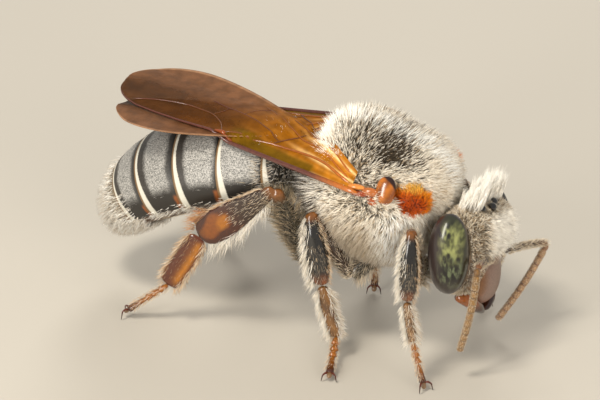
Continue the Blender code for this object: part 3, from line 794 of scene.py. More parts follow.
head = {
    "place": (2.3, 0.0, -1.08), "roll": math.radians(-15),
    "front": 0.6, "back": 0.74, "halfWidth": 1.8, "top": 0.94, "bottom": 1.4, "power": 2.5,
    "eyePlace": (-0.2, 1.65, -0.15), "eyeRadii": (0.55, 0.45, 1.13), "eyePower": 2.1,
    "eyeConverge": math.radians(12),
    "ocelli": {"M": (0.33, -0.02, 0.87), "R": (0.19, -0.5, 0.88), "L": (0.19, 0.5, 0.88)},
    "ocellusRadius": 0.125,
    "clypeus": (0.3, 0.0, -1.02), "clypeusRadii": (0.4, 0.8, 0.7), "clypeusPower": 2.3,
    "socket": (0.6, 0.38, -0.35),
    "mandibleHinge": (0.0, 1.1, -1.36), "mandibleTip": (0.42, 0.1, -1.96),
    "hairs": 38000, "tuftClumps": 400, "tuftHairs": 16, "tuftLength": 1.0,
}
headFrame = Matrix.Translation(head["place"]) @ Matrix.Rotation(head["roll"], 4, "X")


def headPoints(ways):
    # points of the head capsule in its own frame, with normals
    ways = np.asarray(ways, float)
    points, normals = superPoints(ways, (1, 1, 1), head["power"])
    scale = np.stack((np.where(points[:, 0] > 0, head["front"], head["back"]),
                      np.full(len(points), head["halfWidth"]),
                      np.where(points[:, 2] > 0, head["top"], head["bottom"])), 1)
    points = points * scale
    normals = unitRows(normals / scale)
    x, y, z = points.T
    facing = ease(0.1, 0.4, x)
    bump = 0.1 * np.exp(-((y / 0.34) ** 2 + ((z + 0.5) / 0.3) ** 2))
    for sign in (-1, 1):
        bump -= 0.08 * np.exp(-(((y - sign * head["socket"][1]) / 0.14) ** 2
                                + ((z - head["socket"][2]) / 0.14) ** 2))
    points[:, 0] += facing * bump
    return points, normals


def makeHead():
    skull, face, cheek = tint(104, 92, 72), tint(122, 102, 86), tint(116, 80, 46)

    def place(way):
        x, y, z = headPoints([way[:]])[0][0]
        color = mix(skull, face, float(ease(0.15, -0.5, z) * ease(0.1, 0.4, x)))
        color = mix(color, cheek, float(ease(-0.8, -1.2, z)))
        return headFrame @ Vector((x, y, z)), color

    finishPiece(globe(place, 96, 64), "headSkin", finishes["faceShell"], ("head",))

    def clypeusPlace(way):
        point = superPoints([way[:]], head["clypeusRadii"], head["clypeusPower"])[0][0]
        x, y, z = point + np.array(head["clypeus"])
        color = mix(tint(118, 94, 82), tint(104, 68, 38), float(ease(0.5, 0.74, abs(y)) * ease(-0.5, -0.8, z)))
        color = mix(color, tint(80, 60, 50), float(ease(0.22, 0.0, abs(z + 0.46))) * 0.6)
        color = mix(color, tint(112, 58, 30), float(ease(-1.45, -1.68, z)))
        return headFrame @ Vector((x, y, z)), color

    finishPiece(globe(clypeusPlace, 48, 32), "clypeusPlate", finishes["faceShell"], ("clypeus",))
    jaw = smoothTable(((0, 0.17, 0.15), (0.3, 0.22, 0.17), (0.7, 0.19, 0.14), (1, 0.1, 0.06)))
    for side, sign in sides.items():
        hinge = headFrame @ (Vector(head["mandibleHinge"]) * Vector((1, sign, 1)))
        tip = headFrame @ (Vector(head["mandibleTip"]) * Vector((1, sign, 1)))
        jawFrame = aim(hinge, tip, (1, 0, 0))
        length = (tip - hinge).length

        def jawPlace(share, angle):
            wide, deep = jaw(share)
            dome = math.sqrt(max(0.0, 1 - (max(0.0, abs(share - 0.5) * 2 - 0.8) / 0.2) ** 2))
            arch = 0.1 * math.sin(math.pi * share)
            point = roundPoint(share, angle, wide * dome, deep * dome, length, arch)
            color = mix(tint(132, 70, 20), tint(38, 16, 8), float(ease(0.2, 0.7, share)))
            return jawFrame @ point, color

        finishPiece(tube(jawPlace, 18, 20), f"mandible{side}", finishes["amberShell"],
                    (f"mandible_{side}",))
    ocellus = makeShader("ocellusGloss", 0.06, Base_Color=(*tint(16, 13, 12), 1), Coat_Weight=1.0)[0]
    for side, spot in head["ocelli"].items():
        centre = Vector(spot)

        def ocellusPlace(way):
            return headFrame @ (centre + way * head["ocellusRadius"]), (0, 0, 0)

        finishPiece(globe(ocellusPlace, 24, 16), f"ocellus{side}", ocellus, (f"ocellus_{side}",))


def makeEyeFinish():
    # red runs from the back of the eye to the front, green from bottom to top, blue from middle to rim
    material, tree, shader = makeShader("compoundEye", 0.3, Coat_Weight=0.6, Coat_Roughness=0.1,
                                        Specular_IOR_Level=0.4)
    marks, (fore, tall, rim) = splitMarks(tree)

    def pattern(kind, scale, stretch):
        flat = addNode(tree, "ShaderNodeMapping")
        flat.inputs["Scale"].default_value = stretch
        tree.links.new(marks["Color"], flat.inputs["Vector"])
        node = addNode(tree, kind, Scale=scale)
        tree.links.new(flat.outputs["Vector"], node.inputs["Vector"])
        return node.outputs

    spots = pattern("ShaderNodeTexVoronoi", 6.6, (1.25, 1.5, 0.0))["Distance"]
    mottle = pattern("ShaderNodeTexNoise", 6.0, (1.25, 1.5, 0.0))["Fac"]
    stripe = pattern("ShaderNodeTexNoise", 13.0, (1.0, 0.75, 0.0))["Fac"]
    stripeColor = ramp(tree, stripe,
                       ((0.4, tint(12, 11, 8)), (0.5, tint(36, 38, 26)), (0.64, tint(84, 92, 66))))
    green = ramp(tree, mottle, ((0.38, tint(56, 58, 36)), (0.66, tint(126, 130, 78))))
    color = layered(tree, green, (
        (step(tree, spots, 0.24, 0.5, 1.0, 0.0), tint(13, 11, 7)),
        (step(tree, tall, 0.42, 0.62, 1.0, 0.0), stripeColor),  # the lower half
        (step(tree, tall, 0.1, 0.3, 1.0, 0.0), tint(48, 42, 38)),
        (step(tree, tall, 0.84, 0.97), tint(40, 42, 30)),
        (step(tree, fore, 0.3, 0.52, 1.0, 0.0), tint(42, 33, 32)),
        (step(tree, fore, 0.86, 0.94), tint(34, 34, 22)),
        (step(tree, rim, 0.82, 0.97), tint(30, 24, 22))))
    tree.links.new(color, shader.inputs["Base Color"])
    facets = noiseAt(tree, 42, kind="ShaderNodeTexVoronoi")
    bumpFrom(tree, shader, facets.outputs["Distance"], 0.12, 0.004)
    return material


def makeEyes():
    material = makeEyeFinish()
    for side, sign in sides.items():
        x, y, z = head["eyePlace"]
        eyeFrame = headFrame @ Matrix.Translation((x, sign * y, z))
        eyeFrame = eyeFrame @ Matrix.Rotation(-sign * head["eyeConverge"], 4, "X")

        def place(way):
            point = superPoints([way[:]], head["eyeRadii"], head["eyePower"])[0][0]
            return eyeFrame @ Vector(point), (way.x / 2 + 0.5, way.z / 2 + 0.5, 1 - max(0.0, sign * way.y))

        finishPiece(globe(place, 64, 48), f"eye{side}", material, (f"eye_{side}",))


def growHead():
    rng = np.random.default_rng(21)
    ways = scatter(rng, head["hairs"])
    roots, normals = headPoints(ways)
    x, y, z = roots.T
    keep = np.ones(len(roots), bool)
    ex, ey, ez = head["eyePlace"]
    rx, ry, rz = head["eyeRadii"]
    for sign in (-1, 1):
        tilt = head["eyeConverge"] * sign
        dy, dz = y - sign * ey, z - ez
        turnedY, turnedZ = dy * math.cos(tilt) - dz * math.sin(tilt), dy * math.sin(tilt) + dz * math.cos(tilt)
        keep &= ((x - ex) / (rx + 0.03)) ** 2 + (turnedY / (ry + 0.03)) ** 2 + (turnedZ / (rz + 0.02)) ** 2 > 1
        sy, sz = head["socket"][1:]
        keep &= (((y - sign * sy) / 0.17) ** 2 + ((z - sz) / 0.17) ** 2 > 1) | (x < 0)
    cz = head["clypeus"][2]
    keep &= ((y / 0.82) ** 2 + ((z - cz) / 0.72) ** 2 > 1) | (x < 0)
    for spot in head["ocelli"].values():
        keep &= np.linalg.norm(roots - np.array(spot), axis=1) > head["ocellusRadius"] + 0.06
    keep &= ~((x < -0.35) & (np.abs(y) < 0.8) & (z < 0.3))
    low = ease(-0.15, -0.55, z) * ease(0.1, 0.4, x)
    frons = ease(0.1, 0.35, x) * ease(-0.4, -0.05, z) * ease(0.8, 0.6, z) * ease(1.15, 0.65, np.abs(y))
    keep &= rng.random(len(roots)) < 0.6 + 0.25 * frons - 0.42 * low
    roots, normals, ways, frons, low = roots[keep], normals[keep], ways[keep], frons[keep], low[keep]
    x, y, z = roots.T
    count = len(roots)
    crown = ease(0.55, 0.9, z)
    lengths = (0.17 + 0.15 * frons - 0.05 * low - 0.03 * crown) * rng.uniform(0.75, 1.15, count)
    gaps = [np.linalg.norm(roots - np.array(spot), axis=1) for spot in head["ocelli"].values()]
    lengths *= 0.4 + 0.6 * ease(0.15, 0.5, np.min(gaps, axis=0))
    lay = np.stack((0.25 * crown, np.zeros(count), -0.35 * frons - 0.2 * low + 0.1), 1)
    lay[:, 1] += 0.35 * np.sign(y) * (1 - frons)
    lay -= normals * (lay * normals).sum(1)[:, None]
    colors = shades(cream, white, 0.1 + 0.6 * frons)
    roll = rng.random(count)
    colors = blend(colors, roll < 0.4 * (1 - frons) + 0.2 * low, tan)
    colors = blend(colors, rng.random(count) < 0.07 * (1 - frons) * (x > 0.1), darkHair)
    colors = colors * (rng.uniform(0.7, 1.04, count) + 0.06 * frons)[:, None]
    hairs = {"roots": moveInto(headFrame, roots - normals * 0.02),
             "ways": turnInto(headFrame, normals + lay * 0.9 + rng.normal(size=(count, 3)) * 0.22),
             "bends": turnInto(headFrame, lay * 0.5 + clumps(roots, 22) * (0.16 + 0.14 * frons[:, None])),
             "lengths": lengths,
             "girths": 0.0095 * rng.uniform(0.8, 1.2, count), "colors": colors, "maps": ballMap(ways)}
    growCoat("headCoat", 22, hairs)

    # the erect tuft on the crown, in a band that bends forward at both ends, drawn together in clumps
    total, each = head["tuftClumps"], head["tuftHairs"]
    across, back = (np.repeat(rng.uniform(-1, 1, total), each) for _ in range(2))
    stray = rng.normal(size=(total * each, 3)) * 0.055
    ahead = -0.3 + 0.2 * np.abs(across) ** 2 + 0.46 * back
    aimed = np.stack((ahead, 0.1 + 0.56 * across, np.full(total * each, 0.95)), 1) + stray
    ways = unitRows(aimed)
    roots, normals = headPoints(ways)
    lean = np.stack((0.4 - 0.2 * back, 0.12 * across, np.full(len(ways), 1.0)), 1)
    lean += np.repeat(rng.normal(size=(total, 3)) * 0.12, each, axis=0)
    tall = np.repeat(rng.uniform(0.7, 1.1, total), each) * (0.88 - 0.3 * np.abs(across) ** 2.5 + 0.1 * back)
    hairs = {"roots": moveInto(headFrame, roots - normals * 0.02),
             "ways": turnInto(headFrame, lean + rng.normal(size=(len(ways), 3)) * 0.03),
             "bends": turnInto(headFrame, -stray * 1.1),
             "lengths": head["tuftLength"] * tall * rng.uniform(0.75, 1.0, len(ways)),
             "girths": 0.011 * rng.uniform(0.8, 1.2, len(ways)),
             "colors": shades(cream, white, rng.uniform(0.3, 1.3, len(ways))), "maps": ballMap(ways)}
    growCoat("tuftCoat", 23, hairs)
    print("head coat grown")


def ballMap(ways):
    # unwraps a ball: longitude against height
    return onMap(np.arctan2(ways[:, 1], ways[:, 0]) / (2 * np.pi) + 0.5, ways[:, 2] / 2 + 0.5)


feelers = {
    "R": ((2.93, -0.46, -1.34), (2.93, -1.75, -0.99), (2.6, -2.06, -3.38)),
    "L": ((2.95, 0.33, -1.56), (3.8, 1.47, -1.7), (2.75, 0.58, -3.82)),
    "scapeShape": ((0, 0.75), (0.06, 0.85), (0.12, 0.55), (0.2, 0.85), (0.6, 1.0), (0.9, 1.12), (1, 0.9)),
    "scapeRadius": 0.082, "flagellumRadius": 0.098, "rings": 11, "bow": 0.07, "hairs": 1500,
}


def makeFeelers():
    dark, tip = tint(58, 40, 26), tint(112, 72, 40)
    scapeShape = smoothTable(feelers["scapeShape"], 0.04)
    for side in sides:
        socket, elbow, end = (Vector(spot) for spot in feelers[side])
        scapeFrame = aim(socket, elbow, (0, 0, 1))
        scapeLength = (elbow - socket).length
        radius = feelers["scapeRadius"]

        def scapePlace(share, angle):
            size = scapeShape(share)[0] * radius * roundEnds(share, 0.04)
            bend = 0.06 * math.sin(math.pi * share)
            point = roundPoint(share, angle, size, size, scapeLength, bend)
            return scapeFrame @ point, mix(dark, tip, float(ease(0.7, 1.0, share)))

        finishPiece(tube(scapePlace, 30, 18), f"scape{side}", finishes["antennaShell"],
                    (f"scape_{side}",))
        flagFrame = aim(elbow, end, (1, 0, 0))
        flagLength = (end - elbow).length
        # the left feeler is painted lighter and pinker than the right: painted light on one of a matching pair
        light = tint(132, 98, 52) if side == "R" else tint(166, 132, 98)
        shade = tint(84, 56, 26) if side == "R" else tint(108, 72, 54)
        count = feelers["rings"]

        def flagPlace(share, angle):
            # a narrow pedicel, then even rings with a shallow groove between them
            place = share * (count + 0.6)
            if place < 1:
                size = 0.5 + 0.42 * math.sin(math.pi / 2 * min(1, place / 0.6))
                size -= 0.35 * float(ease(0.85, 1.0, place))
                within = place
            else:
                within = (place - 1) % 1
                size = 0.9 + 0.1 * float(ease(0.0, 0.25, within)) - 0.14 * float(ease(0.9, 1.0, within))
                size *= 0.92 + 0.08 * math.sin(math.pi * share)
            size *= feelers["flagellumRadius"] * roundEnds(share, 0.035)
            bend = feelers["bow"] * math.sin(math.pi * share)
            point = roundPoint(share, angle, size, size, flagLength, bend)
            color = mix(light, shade, float(ease(0.72, 0.95, within)) if place >= 1 else 0.6)
            return flagFrame @ point, color

        finishPiece(tube(flagPlace, 120, 20), f"flagellum{side}", finishes["antennaShell"],
                    (f"flagellum_{side}",))
        rng = np.random.default_rng(51 + sides[side])
        rows = []
        for frameOf, length, size, total, hairLength, shadeOf, bow in (
                (scapeFrame, scapeLength, radius, feelers["hairs"] // 2, 0.09, (tan, cream), 0.06),
                (flagFrame, flagLength, feelers["flagellumRadius"] * 0.95, feelers["hairs"], 0.028,
                 (light, cream), feelers["bow"])):
            share, angle = rng.uniform(0.08, 0.98, total), rng.uniform(-np.pi, np.pi, total)
            local = np.stack((size * np.cos(angle) + bow * np.sin(np.pi * share), size * np.sin(angle),
                              share * length), 1)
            out = np.stack((np.cos(angle), np.sin(angle), np.zeros(total)), 1)
            ahead = np.array(frameOf)[:3, 2]
            rows.append((moveInto(frameOf, local),
                         turnInto(frameOf, out + np.array((0, 0, 1.1))) + rng.normal(size=(total, 3)) * 0.2,
                         np.tile(ahead * 0.2, (total, 1)), hairLength * rng.uniform(0.7, 1.2, total),
                         np.full(total, 0.0055), shades(*shadeOf, rng.random(total)),
                         onMap(share, angle / (2 * np.pi) + 0.5)))
        growCoat(f"feelerCoat{side}", 53 + sides[side], gathered(rows))


def roundEnds(share, width):
    # rounds a tube's two ends
    near = min(share, 1 - share) / width
    return math.sqrt(max(0.0, 1 - (1 - min(near, 1.0)) ** 2))


def curvedTube(rows, color, rings=16, around=10, smoothing=0.1):
    # a tube along a smooth line; rows are (x, y, z, radius), color gives the colour at a share of the length
    spots = np.array(rows, float)
    gaps = np.linalg.norm(np.diff(spots[:, :3], axis=0), axis=1)
    shares = np.concatenate(((0,), np.cumsum(gaps))) / gaps.sum()
    line = smoothTable(np.column_stack((shares, spots)), smoothing)
    whole = Vector(spots[-1, :3] - spots[0, :3])
    helper = whole.orthogonal()

    def place(share, angle):
        x, y, z, radius = line(share)
        ahead = Vector(line(min(share + 0.02, 1))[:3]) - Vector(line(max(share - 0.02, 0))[:3])
        side = ahead.cross(helper).normalized()
        other = side.cross(ahead).normalized()
        size = radius * roundEnds(share, 0.03)
        return Vector((x, y, z)) + (side * math.cos(angle) + other * math.sin(angle)) * size, color(share)

    return tube(place, rings, around)


legs = {
    "toeShare": 0.86, "toeHeight": 0.12,  # where the foot's claws begin, and how high that is at least
    "joints": {
        "fore_R": ((0.95, -0.6, -1.6), (1.05, -1.05, -2.25), (1.17, -1.95, -0.16), (1.25, -2.4, -2.0),
                   (1.5, -2.55, -3.08), (1.98, -2.95, -4.16)),
        "mid_R": ((-0.3, -0.65, -1.75), (-0.75, -1.2, -2.3), (-1.76, -1.62, -0.36), (-1.31, -1.9, -2.32),
                  (-0.8, -2.14, -3.66), (-0.48, -3.5, -4.1)),
        "hind_R": ((-1.45, -0.6, -1.5), (-1.95, -1.15, -2.1), (-2.62, -1.95, 0.3), (-4.74, -2.08, -1.47),
                   (-5.66, -2.15, -3.1), (-6.9, -2.4, -4.1)),
        "fore_L": ((0.95, 0.6, -1.6), (1.05, 1.05, -2.25), (1.2, 1.95, -0.5), (1.5, 2.1, -2.2),
                   (1.75, 1.95, -3.2), (2.0, 1.75, -4.14)),
        "mid_L": ((-0.3, 0.65, -1.75), (-0.75, 1.2, -2.3), (-1.5, 2.1, -0.35), (-1.35, 2.15, -2.15),
                  (-1.2, 1.9, -3.35), (-1.05, 1.35, -4.14)),
        "hind_L": ((-1.45, 0.6, -1.5), (-1.95, 1.15, -2.1), (-2.62, 1.95, 0.3), (-4.4, 2.3, -1.35),
                   (-5.0, 2.5, -3.0), (-6.25, 2.65, -4.1)),
    },
    # half width and half depth of each bare segment
    "girths": {
        "fore": {"coxa": (0.27, 0.27), "femur": (0.24, 0.2), "tibia": (0.26, 0.2), "basitarsus": (0.14, 0.1),
                 "tarsus": (0.095, 0.08)},
        "mid": {"coxa": (0.29, 0.29), "femur": (0.25, 0.21), "tibia": (0.32, 0.22), "basitarsus": (0.19, 0.1),
                "tarsus": (0.105, 0.085)},
        "hind": {"coxa": (0.33, 0.33), "femur": (0.32, 0.23), "tibia": (0.46, 0.13), "basitarsus": (0.32, 0.1),
                 "tarsus": (0.115, 0.09)},
    },
    "profiles": {
        "coxa": ((0, 0.8, 0.8), (0.3, 1, 1), (0.8, 0.8, 0.85), (1, 0.55, 0.6)),
        "femur": ((0, 0.5, 0.6), (0.08, 0.62, 0.72), (0.35, 1, 1), (0.65, 0.9, 0.92), (0.9, 0.62, 0.7),
                  (1, 0.6, 0.65)),
        "tibia": ((0, 0.42, 0.5), (0.08, 0.5, 0.6), (0.3, 0.84, 0.95), (0.55, 1, 1.05), (0.8, 0.92, 0.85),
                  (0.95, 0.66, 0.6), (1, 0.5, 0.5)),
        "paddle": ((0, 0.3, 1.2), (0.06, 0.38, 1.15), (0.3, 0.66, 1), (0.55, 0.92, 1),
                   (0.75, 1, 1), (0.9, 0.86, 0.9), (1, 0.5, 0.6)),
        "basitarsus": ((0, 0.55, 0.8), (0.08, 0.85, 1), (0.3, 1, 1), (0.8, 0.95, 1), (0.96, 0.8, 0.8),
                       (1, 0.5, 0.6)),
    },
    "pieces": ("coxa", "femur", "tibia", "basitarsus", "tarsus"),
}


def isPaddle(pair, piece):
    # the broad flat segments of the hind legs
    return pair == "hind" and piece in ("tibia", "basitarsus")


def toeOf(start, end):
    # where the foot's segments end and its claws begin
    toe = start + (end - start) * legs["toeShare"]
    toe.z = max(toe.z, floorZ + legs["toeHeight"])
    return toe


def segmentFrame(pair, piece, start, end):
    flat = Vector((-0.6, 0, 0.8)) if isPaddle(pair, piece) else Vector((-1, 0, 0.2))
    if piece == "tarsus":
        flat = (end - start).cross(Vector((0, 0, 1)))
    return aim(start, end, flat)


def legColor(pair, piece, share, angle):
    black, brown, olive = tint(28, 26, 24), tint(44, 27, 16), tint(54, 48, 36)
    orange, amber, deep = tint(108, 66, 28), tint(136, 80, 20), tint(58, 26, 10)
    wave = 0.5 + 0.5 * math.sin(9 * share + 2 * angle + 1)
    if piece == "coxa":
        return olive
    if piece == "femur":
        return mix(olive if pair == "hind" else brown, orange, float(ease(0.82, 0.97, share)))
    if piece == "tibia":
        color = mix(orange, brown if pair == "hind" else black, float(ease(0.03, 0.15, share)))
        if pair == "hind":
            # a clear amber window in the outer half, with a dark red-brown rim
            color = mix(color, tint(62, 25, 7), float(ease(0.42, 0.62, share)))
            away = math.cos(angle) - 0.1 + 0.5 * (share - 0.77) + 0.12 * math.sin(23 * share)
            inside = ((share - 0.77) / 0.21) ** 2 + (away / 0.58) ** 2
            color = mix(color, tint(116, 60, 4), float(ease(1.15, 0.4, inside)))
            clear = float(ease(0.5, 0.0, inside + 0.5 * math.sin(17 * share + 4 * angle)))
            return mix(color, tint(158, 96, 10), 0.7 * clear)
        return mix(color, tint(112, 60, 28),
                   float(ease(0.78, 0.95, share)) * (0.75 + 0.25 * math.sin(5 * angle)))
    if piece == "basitarsus":
        if pair == "hind":
            stripe = math.exp(-((math.cos(angle) + 0.4) / 0.3) ** 2) * float(ease(0.02, 0.15, share))
            color = mix(tint(78, 32, 8), tint(160, 98, 14), stripe * float(ease(0.98, 0.8, share)))
            return mix(color, amber, float(ease(0.88, 0.98, math.cos(angle))))
        return mix(tint(122, 84, 42), tint(62, 40, 22), 0.25 + 0.55 * wave)
    return mix(amber, deep, float(ease(0.5, 1.0, share)))


def segmentProfile(pair, piece):
    halfX, halfY = legs["girths"][pair][piece]
    name = "paddle" if pair == "hind" and piece == "tibia" else piece
    profile = smoothTable(legs["profiles"][name], 0.06)
    return lambda share: [value * half for value, half in zip(profile(share), (halfX, halfY))]


def makeLegs():
    for leg, joints in legs["joints"].items():
        pair, side = leg.split("_")
        sign = sides[side]
        for index, piece in enumerate(legs["pieces"]):
            start, end = Vector(joints[index]), Vector(joints[index + 1])
            frameOf = segmentFrame(pair, piece, start, end)
            length = (end - start).length
            if piece == "tarsus":
                makeFoot(leg, pair, start, end)
                continue
            sizes = segmentProfile(pair, piece)
            paddle = isPaddle(pair, piece)
            outer = 0.45 if paddle else 1.0  # the outer face of a paddle is nearly flat

            def place(share, angle):
                halfX, halfY = (size * roundEnds(share, 0.05) for size in sizes(share))
                edge = math.copysign(abs(math.cos(angle)) ** (0.8 if paddle else 1.0), math.cos(angle))
                depth = math.sin(angle) * halfY * (outer if math.sin(angle) * sign > 0 else 1.0)
                point = Vector((halfX * edge, depth, share * length))
                return frameOf @ point, legColor(pair, piece, share, angle)

            shell = "amberShell" if paddle else "legShell"
            finishPiece(tube(place, 40, 32), f"{piece}_{leg}Shell", finishes[shell],
                        (f"{piece}_{leg}",))


def makeFoot(leg, pair, start, end):
    # four small cup-shaped segments, two hooked claws and the pad between them
    halfX, halfY = legs["girths"][pair]["tarsus"]
    reach = end - start
    toe = toeOf(start, end)
    grow = smoothTable(((0, 0.5), (0.25, 0.72), (0.7, 0.95), (0.92, 1.08), (1, 0.8)), 0.08)
    parts = []
    breaks = (0.0, 0.19, 0.36, 0.52, 1.0)
    for first, last in zip(breaks, breaks[1:]):
        a, b = start.lerp(toe, first), start.lerp(toe, last)
        frameOf = segmentFrame(pair, "tarsus", a, b)
        length = (b - a).length

        def place(share, angle):
            size = grow(share)[0] * roundEnds(share, 0.08)
            point = Vector((halfX * size * math.cos(angle), halfY * size * math.sin(angle),
                            share * length * 1.04))
            return frameOf @ point, legColor(pair, "tarsus", first + (last - first) * share, angle)

        parts.append(tube(place, 12, 16))
    padFrame = segmentFrame(pair, "tarsus", toe, toe + reach.normalized())

    def padPlace(way):
        point = Vector(np.array(way) * (0.075, 0.06, 0.1)) + Vector((0, 0, 0.07))
        return padFrame @ point, tint(112, 86, 60)

    parts.append(globe(padPlace, 16, 12))
    finishPiece(joined(parts), f"tarsus_{leg}Shell", finishes["amberShell"], (f"tarsus_{leg}",))
    hooks = []
    level = reach.copy()
    level.z = 0
    level.normalize()
    across = Vector((-level.y, level.x, 0))
    for turn in (-1, 1):
        out = (level * 0.75 + across * turn * 0.7).normalized()
        base = toe + across * turn * 0.04
        ground = floorZ + 0.014
        rows = [(*base, 0.03), (*(base + out * 0.1 + Vector((0, 0, 0.04))), 0.028),
                (*(base + out * 0.19), 0.021), (base.x + out.x * 0.24, base.y + out.y * 0.24, ground, 0.008)]
        hooks.append(curvedTube(rows, lambda share: mix(tint(96, 34, 14), tint(24, 10, 6), share), 16, 10,
                                0.12))
    finishPiece(joined(hooks), f"claws_{leg}", finishes["amberShell"])


# rows of hair: piece, number of hairs, middle and spread of the angle, start and end share, length,
# lean, colours
goldHair, roseHair = tint(196, 150, 96), tint(176, 122, 92)
greyHair, mossHair = tint(104, 98, 90), tint(84, 78, 60)
rearSide, frontSide = 0.0, math.pi
outerSide = math.pi / 2  # the side away from the body, for either leg of a pair
upperHair = (("coxa", 600, 0, 4.0, 0, 1, (0.2, 0.32), 0.4, (tan, cream)),
             ("femur", 1100, 0, 4.0, 0, 0.9, (0.12, 0.24), 0.8, (tan, cream)))
legHair = {
    "fore": (*upperHair,
             ("tibia", 760, rearSide, 1.1, 0.05, 0.97, (0.1, 0.3), 0.9, (cream, white)),
             ("tibia", 170, frontSide, 0.5, 0.05, 1, (0.08, 0.2), 0.9, (goldHair, cream)),
             ("tibia", 500, -outerSide, 1.2, 0.05, 0.97, (0.05, 0.1), 2.0, (tan, white)),
             ("tibia", 210, outerSide, 1.5, 0.42, 0.97, (0.04, 0.09), 2.4, (greyHair, tan)),
             ("basitarsus", 420, rearSide, 0.9, 0.05, 1, (0.12, 0.28), 0.55, (cream, white)),
             ("basitarsus", 380, frontSide, 0.9, 0.05, 1, (0.1, 0.25), 0.55, (tan, white)),
             ("basitarsus", 200, outerSide, 1.2, 0.05, 1, (0.05, 0.12), 1.4, (goldHair, cream)),
             ("tarsus", 300, 0, 4.0, 0.02, 0.9, (0.06, 0.13), 0.9, (goldHair, cream))),
    "mid": (*upperHair,
            ("tibia", 980, rearSide, 1.0, 0.06, 0.97, (0.13, 0.36), 0.85, (cream, white)),
            ("tibia", 190, frontSide, 0.5, 0.05, 1, (0.08, 0.2), 0.9, (goldHair, cream)),
            ("tibia", 600, -outerSide, 1.2, 0.05, 0.97, (0.05, 0.1), 2.0, (tan, white)),
            ("tibia", 270, outerSide, 1.5, 0.42, 0.97, (0.04, 0.1), 2.4, (greyHair, tan)),
            ("basitarsus", 520, rearSide, 0.9, 0.05, 1, (0.14, 0.32), 0.55, (cream, white)),
            ("basitarsus", 420, frontSide, 0.9, 0.05, 1, (0.12, 0.3), 0.55, (tan, white)),
            ("basitarsus", 260, 0, 4.0, 0.05, 1, (0.05, 0.1), 1.6, (goldHair, tan)),
            ("tarsus", 320, 0, 4.0, 0.02, 0.9, (0.07, 0.15), 0.9, (goldHair, cream))),
    "hind": (("coxa", 1000, 0, 4.0, 0, 1, (0.24, 0.46), 0.3, (mossHair, cream)),
             ("femur", 2000, 0, 4.0, 0, 0.88, (0.16, 0.42), 0.7, (mossHair, tan)),
             ("tibia", 280, frontSide, 0.3, 0.08, 0.97, (0.18, 0.56), 0.6, (cream, white)),
             ("tibia", 300, rearSide, 0.3, 0.1, 0.8, (0.08, 0.18), 1.1, (goldHair, cream)),
             ("tibia", 130, rearSide, 0.35, 0.72, 1.0, (0.24, 0.5), 0.7, (roseHair, goldHair)),
             ("tibia", 170, outerSide, 1.3, 0.04, 0.62, (0.07, 0.13), 3.6, (tan, cream)),
             ("tibia", 400, -outerSide, 1.3, 0.04, 0.95, (0.08, 0.15), 2.0, (tan, goldHair)),
             ("basitarsus", 260, rearSide, 0.7, 0.03, 1, (0.14, 0.28), 0.8, (goldHair, cream)),
             ("basitarsus", 260, frontSide, 0.7, 0.03, 1, (0.14, 0.28), 0.8, (goldHair, cream)),
             ("basitarsus", 200, 0, 4.0, 0.03, 1, (0.05, 0.1), 1.8, (goldHair, tan)),
             ("tarsus", 320, 0, 4.0, 0.02, 0.9, (0.08, 0.16), 0.9, (goldHair, cream))),
}


def growLegs():
    rng = np.random.default_rng(61)
    for side in sides:
        rows = []
        for leg, joints in legs["joints"].items():
            if not leg.endswith(side):
                continue
            pair = leg.split("_")[0]
            for piece, count, middleAngle, spread, low, high, lengths, lean, colors in legHair[pair]:
                index = legs["pieces"].index(piece)
                start, end = Vector(joints[index]), Vector(joints[index + 1])
                if piece == "tarsus":
                    end = toeOf(start, end)
                    halfX, halfY = (np.full(count, half * 0.9) for half in legs["girths"][pair]["tarsus"])
                share = rng.uniform(low, high, count)
                angle = middleAngle + rng.normal(size=count) * spread * 0.5
                if abs(middleAngle) == outerSide:
                    angle *= sides[side]
                if piece != "tarsus":
                    sizes = np.array([segmentProfile(pair, piece)(at) for at in np.linspace(0, 1, 41)])
                    halfX, halfY = (np.interp(share, np.linspace(0, 1, 41), sizes[:, k]) for k in range(2))
                if isPaddle(pair, piece):
                    halfY = halfY * np.where(np.sin(angle) * sides[side] > 0, 0.45, 1.0)
                frameOf = segmentFrame(pair, piece, start, end)
                ahead = np.array(frameOf)[:3, 2]
                length = (end - start).length
                local = np.stack((halfX * np.cos(angle), halfY * np.sin(angle), share * length), 1)
                out = np.stack((np.cos(angle) / halfX, np.sin(angle) / halfY, np.zeros(count)), 1)
                out = unitRows(out)
                roots = moveInto(frameOf, local)
                hairLengths = lengths[0] + (lengths[1] - lengths[0]) * rng.random(count) ** 1.4
                ways = turnInto(frameOf, out + np.array((0, 0, lean))) + rng.normal(size=(count, 3)) * 0.2
                ways = unitRows(ways)
                above = roots[:, 2] - floorZ - 0.03
                sinking = np.clip(-ways[:, 2] * hairLengths * 1.3, 1e-6, None)
                hairLengths *= np.clip(above / sinking, 0.05, 1.0)
                girth = 0.0026 + 0.013 * min(lengths[1], 0.32)
                bundle = 0.3 if lengths[1] > 0.5 else 0.12  # the long fringe is drawn into strands
                rows.append((roots, ways, ahead * 0.3 + clumps(roots, 26) * bundle, hairLengths,
                             girth * rng.uniform(0.7, 1.2, count), shades(*colors, rng.random(count)),
                             onMap((index + share) / len(legs["pieces"]), (angle / (2 * np.pi)) % 1)))
        growCoat(f"legCoat{side}", 63 + sides[side], gathered(rows))
    print("leg coats grown")


